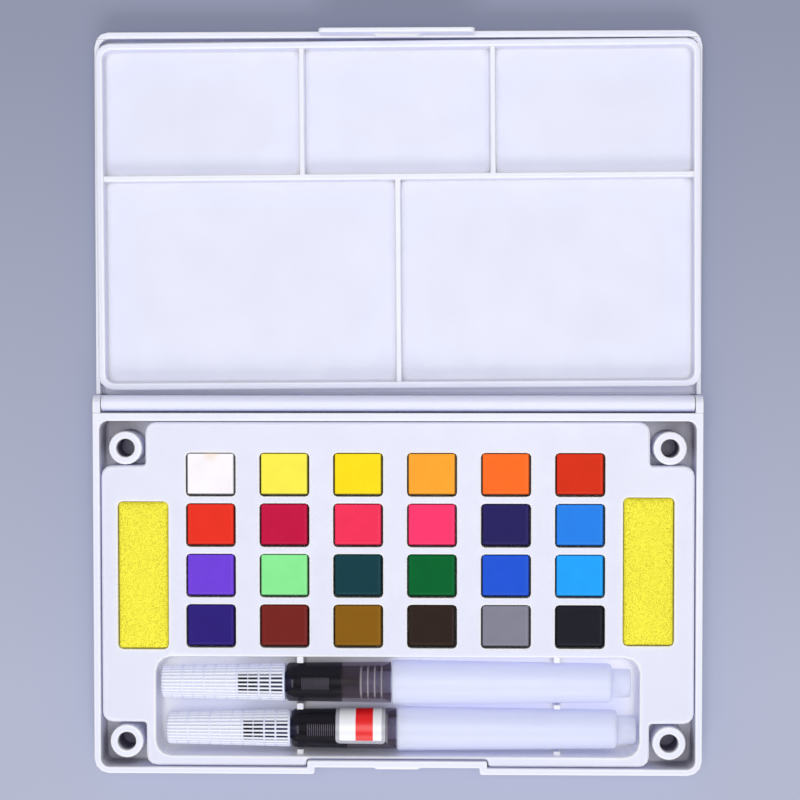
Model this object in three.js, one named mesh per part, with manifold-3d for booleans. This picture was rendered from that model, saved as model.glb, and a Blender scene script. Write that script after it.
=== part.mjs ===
// Watercolour paint box, lying open: a hinged plastic case with a lift-out mixing palette in its lid
// and a lift-out tray in its base that holds paint cakes, two sponges and two water brushes.
// Millimetres, +Z up. The origin is on the table, below the middle of the hinge axis.
// The base lies towards -Y and the open lid towards +Y.
import * as THREE from 'three';
import { mergeVertices } from 'three/addons/utils/BufferGeometryUtils.js';
import Module from 'manifold-3d';

const wasm = await Module();
wasm.setup();

// Gaps between pieces
const fitGap = 0.3;
const seatGap = 0.3;
const closingGap = 0.3;

// Water brushes: lengths along the brush from the closed end of the cap
const capLength = 42.7;
const capTipWidth = 11;
const capMouthWidth = 12.9;
const capTipHeight = 10.2;
const capMouthHeight = 11.5;
const capWall = 1.1;
const capEndRound = 0.9;
const capRibs = 28;
const capRibDepth = 0.28;
const gripLength = 36.1;
const gripFrontWidth = 13.2;
const gripRearWidth = 14.1;
const gripFrontHeight = 11.2;
const gripRearHeight = 11.8;
const gripShoulder = 1.4;
const gripWall = 1.3;
const gripNeckLength = 4.5;
const gripNeckWall = 1.1;
const partingGap = 0.3;
const barrelLength = 75.6;
const barrelFrontWidth = 15.4;
const barrelRearWidth = 13.5;
const barrelHeight = 12;
const barrelRearHeight = 11.4;
const barrelShoulder = 1.2;
const barrelWall = 0.9;
const tailLength = 6.3;
const tailWidth = 9.8;
const tailHeight = 9.4;
const neckLength = 11.5;
const neckWall = 1;
const threadCount = 4;
const threadPitch = 2.1;
const threadDepth = 0.45;
const feedStemGap = 0.4;
const feedStemInsert = 1.5;
const feedCoreLength = 14;
const feedRibs = 8;
const feedRibPitch = 1.3;
const feedRibDepth = 0.5;
const nibLength = 10.7;
const nibMouthWidth = 7;
const nibMouthHeight = 3.6;
const nibSocketDepth = 3;
const nibSocketWall = 0.45;
const nibRootLength = 5;
const tuftLength = 6.3;
const tuftBackingLength = 1;
const tuftEdge = 0.15;
const strandColumnPitch = 0.18;
const strandRowPitch = 0.24;
const strandRadius = 0.08;
const tipSpreadShare = 1.12;
const outerShorterShare = 0.07;
const gripStart = capLength + partingGap;
const barrelStart = gripStart + gripLength + partingGap;
const brushLength = barrelStart + barrelLength + tailLength;

// Brush trough, as long and as wide as its two brushes and the gaps about them
const rearBrushEndGap = 1.5;
const frontBrushEndGap = 3.3;
const frontBrushTailGap = 1;
const rearTroughGap = 1.75;
const brushGap = 0.6;
const frontTroughGap = 1.05;
const troughLength = frontBrushEndGap + brushLength + frontBrushTailGap;
const troughWidth = rearTroughGap + 2 * barrelFrontWidth + brushGap + frontTroughGap;
const troughSlope = 1.4;
const troughEndSlope = 0.3;
const troughFloorPlate = 1;
const troughCorner = 5.2;
const troughFillet = 1;
const troughWall = 1;
const cradleThickness = 2.3;
const cradleDrop = 2.2;
const cradleRound = 0.4;
const cradleFromGrip = 4.9;
const cradleFromShoulder = 18.9;

// Paint pockets and cakes
const pocketColumns = 6;
const pocketRows = 4;
const pocketWidth = 17.1;
const pocketLength = 15;
const rowGap = 2.33;
const pocketDepth = 7;
const pocketCorner = 1.4;
const pocketWall = 1.2;
const contentsShift = -0.65;
const cakeDrop = 0.5;
const cakeCorner = 1.3;
const cakeEdgeRound = 0.35;
const cakeRimWidth = 1.1;
const cakeDish = 0.25;
const pocketPitchY = pocketLength + rowGap;

// Margins that lay the contents out in the case
const troughEndMargin = 21.2;
const troughFrontMargin = 3.8;
const gridTroughGap = 3.06;
const gridRearMargin = 10.85;

// Hinge
const barrelRadius = 2.7;
const barrelGap = 0.45;
const earThickness = 2.55;
const earRadius = 2.75;
const pinRadius = 1.2;
const pinLength = 1.5;
const pinHoleDepth = 1.9;

// Base case
const baseSideWall = 2.3;
const baseFrontWall = 2.2;
const baseRearWall = 2.75;
const baseFloor = 1.5;
const baseInnerCorner = 2.7;
const baseFloorFillet = 1;

// Size of the case, from what lies in it
const caseWidth = troughLength + 2 * troughEndMargin;
const gridDepth = pocketLength + (pocketRows - 1) * pocketPitchY;
const baseRearFace = -(barrelRadius + barrelGap);
const contentsDepth = gridRearMargin + gridDepth + gridTroughGap + troughWidth + troughFrontMargin;
const hingeToFront = baseRearWall - baseRearFace + contentsDepth + baseFrontWall;
const trayBottom = baseFloor + seatGap;
const troughFloor = trayBottom + troughFloorPlate;
const baseHeight = troughFloor + seatGap + barrelHeight + closingGap;
const lidHeight = 8.8;
const caseCorner = 5;
const caseEdgeRound = 1.2;
const rimRound = 0.3;
const hingeHeight = (baseHeight + closingGap + lidHeight) / 2;

// Corner posts of the base, with a blind peg hole each
const postRadius = 5.7;
const postHoleRadius = 3.15;
const postDrop = 0.2;
const postEdge = 0.35;
const postHoleFloor = 2.5;
const postSideInset = 11.2;
const postRearInset = 9.2;
const postFrontInset = 8.9;
const postSideClearance = 0.9;
const postRearClearance = 0.35;
const postFrontClearance = 0.65;

// Latch: a recess in the front wall with a catch, and a sprung tab on the lid with a hook
const tabWidth = 52.8;
const tabThickness = 1.5;
const tabReach = 9;
const tabCorner = 1.6;
const tabEdge = 0.3;
const hookWidth = 15.4;
const hookDepth = 1;
const hookHeight = 2;
const hookTaper = 0.7;
const catchOverlap = 0.4;
const catchDepth = 0.5;
const catchHeight = 2.2;
const catchDrop = 0.1;
const catchTaper = 1.1;
const tabSideGap = 1.85;
const recessBackMargin = 2.55;
const recessBackWall = 2.3;
const recessCorner = 0.9;
const catchWidth = hookWidth + 2 * catchOverlap;
const recessWidth = tabWidth + 2 * tabSideGap;
const recessDepth = tabThickness + catchDepth + closingGap;
const recessBackWidth = recessWidth + 2 * recessBackMargin;

// Lid
const lidPlate = 1.6;
const lidSideWall = 1.4;
const lidFrontWall = 2.2;
const lidInnerCorner = 3.4;
const webThickness = 2;
const webSetback = 0.75;
const flangeRebate = 1.6;

// Mixing palette
const flangeInset = 0.6;
const paletteSideGap = 0.9;
const paletteFrontGap = 0.93;
const paletteRearGap = 2.32;
const paletteSideShift = 0.22;
const paletteSkewShare = 0.002;
const paletteCorner = 4.8;
const paletteRim = 2.3;
const paletteRimRound = 0.55;
const paletteFloor = 1.2;
const crossDividerWidth = 2;
const dividerWidth = 1.7;
const dividerDrop = 0.7;
const dividerRound = 0.35;
const dividerSeat = 0.2;
const dividerPitch = 65.4;
const smallWellLength = 42.9;
const wellCorner = 2.8;
const wellFillet = 0.6;
const wellDraft = 0.25;

// Paint tray
const trayDrop = 1.2;
const trayPlate = 1.2;
const traySkirt = 1.2;
const trayEdgeRound = 0.9;
const trayOuterCorner = 3.6;
const trayInnerCorner = 1;

// Sponges
const spongePocketWidth = 17.4;
const spongePocketLength = 50.8;
const spongePocketDepth = 8.4;
const spongeSideInset = 15.3;
const spongeTroughGap = 3.25;
const spongeStagger = 0.8;
const spongeCorner = 1.6;
const spongeEdgeRound = 1.1;
const spongeCrown = 0.8;
const spongeDrawIn = 0.35;
const crownSteps = 4;
const gridSpongeGap = 6.075;

// Counts of facets
const cornerSteps = 3;
const smallCornerSteps = 2;
const roundSteps = 2;
const profileSteps = 10;
const postSides = 20;
const barrelSides = 28;
const pinSides = 16;
const ovalSides = 20;
const threadSides = 16;
const feedSides = 14;
const strandSides = 3;

// Overrun of every cut past the surface it goes through, and the weld for shared vertices
const overrun = 1;
const weldDistance = 0.0001;
const smallestRadius = 0.05;

// Places worked out from the sizes above
const halfWidth = caseWidth / 2;
const baseInner = {
  left: -halfWidth + baseSideWall,
  right: halfWidth - baseSideWall,
  front: -hingeToFront + baseFrontWall,
  rear: baseRearFace - baseRearWall,
};
const earInnerFace = halfWidth - earThickness;
const barrelHalfLength = earInnerFace - fitGap;
const lidSideEnd = earRadius + fitGap;
const lidInner = {
  left: -halfWidth + lidSideWall,
  right: halfWidth - lidSideWall,
  front: webSetback + webThickness,
  rear: hingeToFront - lidFrontWall,
};
const paletteWidth = caseWidth - 2 * flangeInset;
const paletteLength = lidInner.rear - lidInner.front - paletteFrontGap - paletteRearGap;
const recessFace = hingeToFront - recessDepth;
const recessBack = recessFace - recessBackWall;
const tabInnerFace = hingeToFront - tabThickness;
const catchFoot = baseHeight - catchDrop - catchHeight;
const trayTop = baseHeight - trayDrop;
const tray = {
  left: baseInner.left + fitGap,
  right: baseInner.right - fitGap,
  front: baseInner.front + fitGap,
  rear: baseInner.rear - fitGap,
};
const postX = halfWidth - postSideInset;
const rearPostY = baseInner.rear - postRearInset;
const frontPostY = baseInner.front + postFrontInset;
const troughFront = baseInner.front + troughFrontMargin;
const troughRear = troughFront + troughWidth;
const pocketFloor = trayTop - pocketDepth;
const firstRow = baseInner.rear - gridRearMargin - pocketLength / 2;
const spongeX = baseInner.right - spongeSideInset;
const spongeY = troughRear + spongeTroughGap + spongePocketLength / 2;
const gridWidth = 2 * (spongeX - spongePocketWidth / 2 - gridSpongeGap);
const pocketPitchX = (gridWidth - pocketWidth) / (pocketColumns - 1);
const brushAxisHeight = troughFloor + seatGap + barrelHeight / 2;
const rearBrushY = troughRear - rearTroughGap - barrelFrontWidth / 2;
const frontBrushY = troughFront + frontTroughGap + barrelFrontWidth / 2;
const rearBrushStart = -troughLength / 2 + rearBrushEndGap;
const frontBrushStart = -troughLength / 2 + frontBrushEndGap;
const neckInset = capWall + fitGap;
const neckTip = gripStart - gripNeckLength;
const neckStart = barrelStart - neckLength;
const neckRadius = brushSection(neckStart).height / 2 - gripWall - threadDepth - fitGap;
const boreRadius = neckRadius - neckWall;

// Corners of a rectangle, counter-clockwise, with one radius or one for each of its -Y and +Y ends
function rectangle({ left, right, front, rear }, radius, rearRadius = radius) {
  return [
    { x: left, y: front, radius },
    { x: right, y: front, radius },
    { x: right, y: rear, radius: rearRadius },
    { x: left, y: rear, radius: rearRadius },
  ];
}

// Sides of a rectangle of the given width, centred across the case
function span(width, front, rear) {
  return { left: -width / 2, right: width / 2, front, rear };
}

function centredRectangle(x, y, width, length, radius) {
  const size = { left: x - width / 2, right: x + width / 2 };
  size.front = y - length / 2;
  size.rear = y + length / 2;
  return rectangle(size, radius);
}

// Points round a right-angled outline, moved inwards by an inset, with an arc at every corner
function roundedOutline(corners, inset = 0, steps = cornerSteps) {
  const points = [];
  corners.forEach((corner, index) => {
    const before = corners[(index + corners.length - 1) % corners.length];
    const after = corners[(index + 1) % corners.length];
    const arrive = new THREE.Vector2(corner.x - before.x, corner.y - before.y).normalize();
    const leave = new THREE.Vector2(after.x - corner.x, after.y - corner.y).normalize();
    const turn = arrive.cross(leave);
    const inwards = new THREE.Vector2(-arrive.y - leave.y, arrive.x + leave.x);
    const tip = new THREE.Vector2(corner.x, corner.y).addScaledVector(inwards, inset);
    const radius = Math.max(corner.radius - turn * inset, smallestRadius);
    const centre = tip.clone().addScaledVector(arrive, -radius).addScaledVector(leave, radius);
    for (let step = 0; step <= steps; step++) {
      const angle = (step / steps) * Math.PI / 2;
      const point = centre.clone();
      point.addScaledVector(leave, -radius * Math.cos(angle));
      point.addScaledVector(arrive, radius * Math.sin(angle));
      points.push(point);
    }
  });
  return points;
}

// A closed solid through outlines of equal point count, the first and last of them capped
function loft(levels) {
  const count = levels[0].points.length;
  const positions = [];
  const faces = [];
  for (const { points, height } of levels) {
    points.forEach((point) => positions.push(point.x, point.y, height));
  }
  for (let level = 1; level < levels.length; level++) {
    for (let i = 0; i < count; i++) {
      const low = (level - 1) * count + i;
      const lowNext = (level - 1) * count + (i + 1) % count;
      faces.push(low, lowNext, lowNext + count);
      faces.push(low, lowNext + count, low + count);
    }
  }
  const last = (levels.length - 1) * count;
  for (const [a, b, c] of THREE.ShapeUtils.triangulateShape(levels[0].points, [])) {
    faces.push(a, c, b);
  }
  for (const [a, b, c] of THREE.ShapeUtils.triangulateShape(levels.at(-1).points, [])) {
    faces.push(last + a, last + b, last + c);
  }
  const geometry = new THREE.BufferGeometry();
  geometry.setAttribute('position', new THREE.Float32BufferAttribute(positions, 3));
  geometry.setIndex(faces);
  return geometry;
}

// Levels of a quarter round at the lower edge, which is inset by the radius and a draft at its foot
function lowerRound(corners, bottom, radius, draft = 0, steps = cornerSteps) {
  return [...Array(roundSteps + 1).keys()].map((step) => {
    const angle = (step / roundSteps) * Math.PI / 2;
    const inset = draft + radius * (1 - Math.sin(angle));
    return { points: roundedOutline(corners, inset, steps), height: bottom + radius * (1 - Math.cos(angle)) };
  });
}

// Levels of a quarter round at the upper edge: inwards on a block, outwards on a cavity
function upperRound(corners, top, radius, outwards = false, steps = cornerSteps) {
  return [...Array(roundSteps + 1).keys()].map((step) => {
    const angle = (step / roundSteps) * Math.PI / 2;
    const inset = radius * (1 - Math.cos(angle)) * (outwards ? -1 : 1);
    return { points: roundedOutline(corners, inset, steps), height: top - radius * (1 - Math.sin(angle)) };
  });
}

// A block with both edges rounded
function block(corners, bottom, top, lowerRadius, upperRadius, steps = cornerSteps) {
  return loft([
    ...lowerRound(corners, bottom, lowerRadius, 0, steps),
    ...upperRound(corners, top, upperRadius, false, steps),
  ]);
}

// A cutter for a hollow with a filleted floor, drafted walls and a rounded mouth
function cavity(corners, floor, mouth, { fillet, mouthRound, draft = 0, steps = cornerSteps }) {
  const rim = upperRound(corners, mouth, mouthRound, true, steps);
  return loft([
    ...lowerRound(corners, floor, fillet, draft, steps),
    ...rim,
    { points: rim.at(-1).points, height: mouth + overrun },
  ]);
}

function box({ left, right, front, rear }, bottom, top) {
  const geometry = new THREE.BoxGeometry(right - left, rear - front, top - bottom);
  return geometry.translate((left + right) / 2, (front + rear) / 2, (bottom + top) / 2);
}

// Turns a shape drawn in X and Z, and raised in its own height, to face the front of the case
function facingFront(geometry) {
  return geometry.rotateX(Math.PI / 2);
}

// Turns a shape that stands up into one that lies along +X
function lyingAlongX(geometry) {
  return geometry.rotateY(Math.PI / 2);
}

// A shape drawn in Y and Z, extruded from one place on X to another
function extrudedAlongX(shape, from, to) {
  const size = { depth: to - from, bevelEnabled: false, curveSegments: profileSteps };
  const axes = new THREE.Matrix4().makeBasis(
    new THREE.Vector3(0, 1, 0),
    new THREE.Vector3(0, 0, 1),
    new THREE.Vector3(1, 0, 0),
  );
  return new THREE.ExtrudeGeometry(shape, size).applyMatrix4(axes).translate(from, 0, 0);
}

function cylinderAlongX(radius, from, to, sides) {
  const geometry = new THREE.CylinderGeometry(radius, radius, to - from, sides);
  geometry.rotateZ(-Math.PI / 2);
  return geometry.translate((from + to) / 2, 0, hingeHeight);
}

// A solid for joining and cutting, made from a closed geometry
function solid(geometry) {
  const bare = geometry.clone();
  bare.deleteAttribute('normal');
  bare.deleteAttribute('uv');
  const welded = mergeVertices(bare, weldDistance);
  return new wasm.Manifold(new wasm.Mesh({
    numProp: 3,
    vertProperties: welded.attributes.position.array,
    triVerts: Uint32Array.from(welded.index.array),
  }));
}

function geometryOf(shape) {
  const { vertProperties, triVerts } = shape.getMesh();
  const geometry = new THREE.BufferGeometry();
  geometry.setAttribute('position', new THREE.BufferAttribute(vertProperties, 3));
  geometry.setIndex(new THREE.BufferAttribute(triVerts, 1));
  return geometry;
}

function join(first, ...others) {
  return others.reduce((whole, part) => whole.add(solid(part)), first);
}

function cut(first, ...others) {
  return others.reduce((whole, part) => whole.subtract(solid(part)), first);
}

// Both copies of a shape that the case has on its left and on its right
function leftAndRight(make) {
  return [make(-1), make(1)];
}

// Post with a blind peg hole, revolved about its own axis
function cornerPost(x, y) {
  const top = baseHeight - postDrop;
  const profile = [
    [0, baseFloor / 2],
    [postRadius, baseFloor / 2],
    [postRadius, top - postEdge],
    [postRadius - postEdge, top],
    [postHoleRadius + postEdge, top],
    [postHoleRadius, top - postEdge],
    [postHoleRadius, postHoleFloor],
    [0, postHoleFloor],
  ];
  const geometry = new THREE.LatheGeometry(profile.map(([r, z]) => new THREE.Vector2(r, z)), postSides);
  return geometry.rotateX(Math.PI / 2).translate(x, y, 0);
}

// Hinge ear: the side wall carried back past the axis, with a round end over it
function hingeEar(side) {
  const shape = new THREE.Shape();
  shape.moveTo(baseRearFace - baseSideWall, caseEdgeRound);
  shape.lineTo(earRadius, caseEdgeRound);
  shape.lineTo(earRadius, hingeHeight);
  shape.absarc(0, hingeHeight, earRadius, 0, Math.PI / 2, false);
  shape.lineTo(baseRearFace - baseSideWall, hingeHeight + earRadius);
  shape.closePath();
  const ends = [side * earInnerFace, side * halfWidth].sort((a, b) => a - b);
  return extrudedAlongX(shape, ends[0], ends[1]);
}

function earHole(side) {
  const face = side * earInnerFace;
  const ends = [face - side * overrun, face + side * pinHoleDepth].sort((a, b) => a - b);
  return cylinderAlongX(pinRadius + fitGap, ends[0], ends[1], pinSides);
}

// Catch at the rim of the recess, which the hook of the lid snaps under: narrower at its face
function latchCatch() {
  const size = span(catchWidth, catchFoot, baseHeight - catchDrop);
  const face = span(catchWidth - 2 * catchTaper, catchFoot, baseHeight - catchDrop);
  return facingFront(loft([
    { points: roundedOutline(rectangle(size, rimRound)), height: recessFace - recessBackWall / 2 },
    { points: roundedOutline(rectangle(size, rimRound)), height: recessFace },
    { points: roundedOutline(rectangle(face, rimRound)), height: recessFace + catchDepth },
  ]));
}

// Outline of the base, stepped back at the front for the tab of the lid
function baseCorners() {
  const stepX = recessWidth / 2;
  return [
    { x: -halfWidth, y: -hingeToFront, radius: caseCorner },
    { x: -stepX, y: -hingeToFront, radius: recessCorner },
    { x: -stepX, y: -recessFace, radius: rimRound },
    { x: stepX, y: -recessFace, radius: rimRound },
    { x: stepX, y: -hingeToFront, radius: recessCorner },
    { x: halfWidth, y: -hingeToFront, radius: caseCorner },
    { x: halfWidth, y: baseRearFace, radius: rimRound },
    { x: -halfWidth, y: baseRearFace, radius: rimRound },
  ];
}

// Outline of the inside of the base, stepped back behind the recess by as much as the wall needs
function baseInnerCorners() {
  const stepX = recessBackWidth / 2;
  const stepCorner = trayInnerCorner - fitGap;
  return [
    { x: baseInner.left, y: baseInner.front, radius: baseInnerCorner },
    { x: -stepX, y: baseInner.front, radius: rimRound },
    { x: -stepX, y: -recessBack, radius: stepCorner },
    { x: stepX, y: -recessBack, radius: stepCorner },
    { x: stepX, y: baseInner.front, radius: rimRound },
    { x: baseInner.right, y: baseInner.front, radius: baseInnerCorner },
    { x: baseInner.right, y: baseInner.rear, radius: baseInnerCorner },
    { x: baseInner.left, y: baseInner.rear, radius: baseInnerCorner },
  ];
}

// Base case: a shell with corner posts, hinge ears, and a catch over the window that its hook enters
function baseCase() {
  const hollow = { fillet: baseFloorFillet, mouthRound: rimRound };
  const hookWindow = span(hookWidth + 2 * fitGap, -hingeToFront, -(tabInnerFace - hookDepth - fitGap));
  const hookBottom = catchFoot - closingGap - hookHeight;
  let shape = solid(block(baseCorners(), 0, baseHeight, caseEdgeRound, rimRound));
  shape = cut(shape, cavity(baseInnerCorners(), baseFloor, baseHeight, hollow));
  shape = join(shape, ...leftAndRight(hingeEar));
  for (const y of [rearPostY, frontPostY]) {
    shape = join(shape, ...leftAndRight((side) => cornerPost(side * postX, y)));
  }
  shape = cut(shape, ...leftAndRight(earHole));
  shape = join(shape, latchCatch());
  shape = cut(shape, box(hookWindow, hookBottom - fitGap, catchFoot));
  return geometryOf(shape);
}

// Latch tab: a plate that stands past the rim of the lid
function latchTab() {
  const corners = rectangle(span(tabWidth, lidHeight / 2, lidHeight + tabReach), tabCorner);
  const geometry = block(corners, -hingeToFront, -tabInnerFace, tabEdge, tabEdge);
  return facingFront(geometry);
}

// Hook on the inner side of the tab, which lies just below the catch when the lid is closed
function latchHook() {
  const foot = 2 * hingeHeight - catchFoot + closingGap;
  const root = span(hookWidth, foot, foot + hookHeight);
  const tip = span(hookWidth - 2 * hookTaper, foot, foot + hookHeight - hookTaper);
  return facingFront(loft([
    { points: roundedOutline(rectangle(root, rimRound)), height: -tabInnerFace - tabThickness / 2 },
    { points: roundedOutline(rectangle(root, rimRound)), height: -tabInnerFace },
    { points: roundedOutline(rectangle(tip, rimRound)), height: -tabInnerFace + hookDepth },
  ]));
}

function hingePin(side) {
  const face = side * barrelHalfLength;
  const ends = [face - side * barrelRadius, face + side * (fitGap + pinLength)].sort((a, b) => a - b);
  return cylinderAlongX(pinRadius, ends[0], ends[1], pinSides);
}

// Room for the ear of the base, cut from the rear corner of the lid
function earClearance(side) {
  const ends = [side * barrelHalfLength, side * (halfWidth + overrun)].sort((a, b) => a - b);
  const room = { left: ends[0], right: ends[1], front: -overrun, rear: lidSideEnd };
  return box(room, -overrun, lidHeight + overrun);
}

function lid() {
  const outer = rectangle(span(caseWidth, webSetback, hingeToFront), rimRound, caseCorner);
  const inner = rectangle(lidInner, rimRound, lidInnerCorner);
  const web = span(2 * barrelHalfLength, webSetback, webSetback + webThickness);
  const rebate = span(caseWidth + 2 * overrun, lidInner.front, lidInner.rear);
  let shape = solid(block(outer, 0, lidHeight, caseEdgeRound, rimRound));
  shape = cut(
    shape,
    cavity(inner, lidPlate, lidHeight, { fillet: baseFloorFillet, mouthRound: rimRound }),
    box(rebate, lidHeight - flangeRebate, lidHeight + overrun),
    ...leftAndRight(earClearance),
  );
  shape = join(
    shape,
    box(web, lidPlate / 2, hingeHeight),
    cylinderAlongX(barrelRadius, -barrelHalfLength, barrelHalfLength, barrelSides),
    ...leftAndRight(hingePin),
    latchTab(),
    latchHook(),
  );
  return geometryOf(shape);
}

// Divider of the palette: a plate that thins a little from its foot up to its round top
function paletteDivider(size) {
  const corners = rectangle(size, 0);
  const foot = roundedOutline(corners, -wellDraft, smallCornerSteps);
  return loft([
    { points: foot, height: lidPlate + seatGap + paletteFloor / 2 },
    { points: foot, height: lidPlate + seatGap + paletteFloor },
    ...upperRound(corners, lidHeight - dividerDrop, dividerRound, false, smallCornerSteps),
  ]);
}

// Dividers that part three small wells at the front of the lid from two large ones behind them
function paletteDividers(inner) {
  const crossY = inner.rear - smallWellLength - crossDividerWidth / 2;
  const crossLength = inner.right - inner.left + 2 * dividerSeat;
  const front = inner.front - dividerSeat;
  const rear = inner.rear + dividerSeat;
  const standing = (x, size) => ({ left: x - dividerWidth / 2, right: x + dividerWidth / 2, ...size });
  return [
    span(crossLength, crossY - crossDividerWidth / 2, crossY + crossDividerWidth / 2),
    standing(-dividerPitch / 2, { front: crossY, rear }),
    standing(dividerPitch / 2, { front: crossY, rear }),
    standing(0, { front, rear: crossY }),
  ].map(paletteDivider);
}

// Mixing palette, drawn about its own middle: a flange round a hollow body with five wells
function mixingPalette() {
  const flange = centredRectangle(0, 0, paletteWidth, paletteLength, paletteCorner);
  const bodyWidth = lidInner.right - lidInner.left - 2 * paletteSideGap;
  const bodyCorner = paletteCorner - (paletteWidth - bodyWidth) / 2;
  const body = centredRectangle(0, 0, bodyWidth, paletteLength - 2 * fitGap, bodyCorner);
  const reach = paletteLength / 2 - paletteRim;
  const inner = span(paletteWidth - 2 * paletteRim, -reach, reach);
  const bottom = lidPlate + seatGap;
  const flangeBottom = lidHeight - flangeRebate + seatGap;
  const well = { fillet: wellFillet, mouthRound: paletteRimRound / 2, draft: wellDraft };
  let shape = solid(block(flange, flangeBottom, lidHeight, rimRound, paletteRimRound));
  shape = join(shape, block(body, bottom, lidHeight - paletteRimRound, rimRound, rimRound));
  shape = cut(shape, cavity(rectangle(inner, wellCorner), bottom + paletteFloor, lidHeight, well));
  shape = join(shape, ...paletteDividers(inner));
  return geometryOf(shape);
}

// Outline of the tray: a corner cut out round each post and a step back behind the latch
function trayCorners() {
  const cutX = postX - postRadius - postSideClearance;
  const cutRear = rearPostY - postRadius - postRearClearance;
  const cutFront = frontPostY + postRadius + postFrontClearance;
  const stepX = recessBackWidth / 2 + fitGap;
  const stepY = -recessBack + fitGap;
  const outwards = trayOuterCorner;
  const inwards = trayInnerCorner;
  return [
    { x: -cutX, y: cutFront, radius: inwards },
    { x: -cutX, y: tray.front, radius: outwards },
    { x: -stepX, y: tray.front, radius: inwards },
    { x: -stepX, y: stepY, radius: inwards },
    { x: stepX, y: stepY, radius: inwards },
    { x: stepX, y: tray.front, radius: inwards },
    { x: cutX, y: tray.front, radius: outwards },
    { x: cutX, y: cutFront, radius: inwards },
    { x: tray.right, y: cutFront, radius: outwards },
    { x: tray.right, y: cutRear, radius: outwards },
    { x: cutX, y: cutRear, radius: inwards },
    { x: cutX, y: tray.rear, radius: outwards },
    { x: -cutX, y: tray.rear, radius: outwards },
    { x: -cutX, y: cutRear, radius: inwards },
    { x: tray.left, y: cutRear, radius: outwards },
    { x: tray.left, y: cutFront, radius: outwards },
  ];
}

function columnX(column) {
  return contentsShift + (column - (pocketColumns - 1) / 2) * pocketPitchX;
}

function rowY(row) {
  return firstRow - row * pocketPitchY;
}

// Shell below one column of pockets, as wide as a pocket and its walls
function pocketColumnShell(column) {
  const middle = (rowY(0) + rowY(pocketRows - 1)) / 2;
  const length = (pocketRows - 1) * pocketPitchY + pocketLength + 2 * pocketWall;
  const width = pocketWidth + 2 * pocketWall;
  const corners = centredRectangle(columnX(column), middle, width, length, pocketCorner);
  const points = roundedOutline(corners, 0, smallCornerSteps);
  return loft([
    { points, height: pocketFloor - trayPlate },
    { points, height: trayTop - trayPlate / 2 },
  ]);
}

function pocketCutter(column, row) {
  const corners = centredRectangle(columnX(column), rowY(row), pocketWidth, pocketLength, pocketCorner);
  const points = roundedOutline(corners, 0, smallCornerSteps);
  return loft([{ points, height: pocketFloor }, { points, height: trayTop + overrun }]);
}

function spongePlace(side) {
  return { x: contentsShift + side * spongeX, y: spongeY + side * spongeStagger };
}

function spongePocket(side, wall) {
  const width = spongePocketWidth + 2 * wall;
  const length = spongePocketLength + 2 * wall;
  const { x, y } = spongePlace(side);
  return centredRectangle(x, y, width, length, spongeCorner + wall);
}

// Seat of a brush in a cradle: half an oval below and open above, as large as the brush at either face
function cradleCut(x, y, brushStart) {
  const faces = [x - cradleThickness / 2, x + cradleThickness / 2];
  const sections = faces.map((face) => brushSection(face - brushStart));
  const radius = {
    y: Math.max(...sections.map(({ width }) => width)) / 2 + fitGap,
    z: Math.max(...sections.map(({ height }) => height)) / 2 + fitGap,
  };
  const shape = new THREE.Shape();
  shape.moveTo(y - radius.y, trayTop + overrun);
  shape.lineTo(y - radius.y, brushAxisHeight);
  shape.absellipse(y, brushAxisHeight, radius.y, radius.z, Math.PI, 2 * Math.PI, false);
  shape.lineTo(y + radius.y, trayTop + overrun);
  shape.closePath();
  const depth = cradleThickness + 2 * overrun;
  return extrudedAlongX(shape, x - depth / 2, x + depth / 2);
}

// Cradle across the trough: a plate with a seat cut out for each brush
function brushCradle(x) {
  const size = { left: x - cradleThickness / 2, right: x + cradleThickness / 2 };
  size.front = troughFront - troughWall / 2;
  size.rear = troughRear + troughWall / 2;
  const plate = block(
    rectangle(size, cradleRound),
    troughFloor - troughFloorPlate / 2,
    trayTop - cradleDrop,
    rimRound,
    cradleRound,
    smallCornerSteps,
  );
  return cut(
    solid(plate),
    cradleCut(x, rearBrushY, rearBrushStart),
    cradleCut(x, frontBrushY, frontBrushStart),
  );
}

// Trough cutter, its long sides sloping more than its ends
function troughCutter() {
  const middle = (troughFront + troughRear) / 2;
  const level = (share, height, grow = 0) => {
    const width = troughLength - 2 * troughEndSlope * share + 2 * grow;
    const length = troughWidth - 2 * troughSlope * share + 2 * grow;
    return { points: roundedOutline(centredRectangle(0, middle, width, length, troughCorner)), height };
  };
  return loft([
    level(1, troughFloor, -troughFillet),
    level(1, troughFloor + troughFillet / 3, -troughFillet / 3),
    level(1, troughFloor + troughFillet),
    level(0, trayTop - rimRound),
    level(0, trayTop, rimRound),
    level(0, trayTop + overrun, rimRound),
  ]);
}

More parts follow.
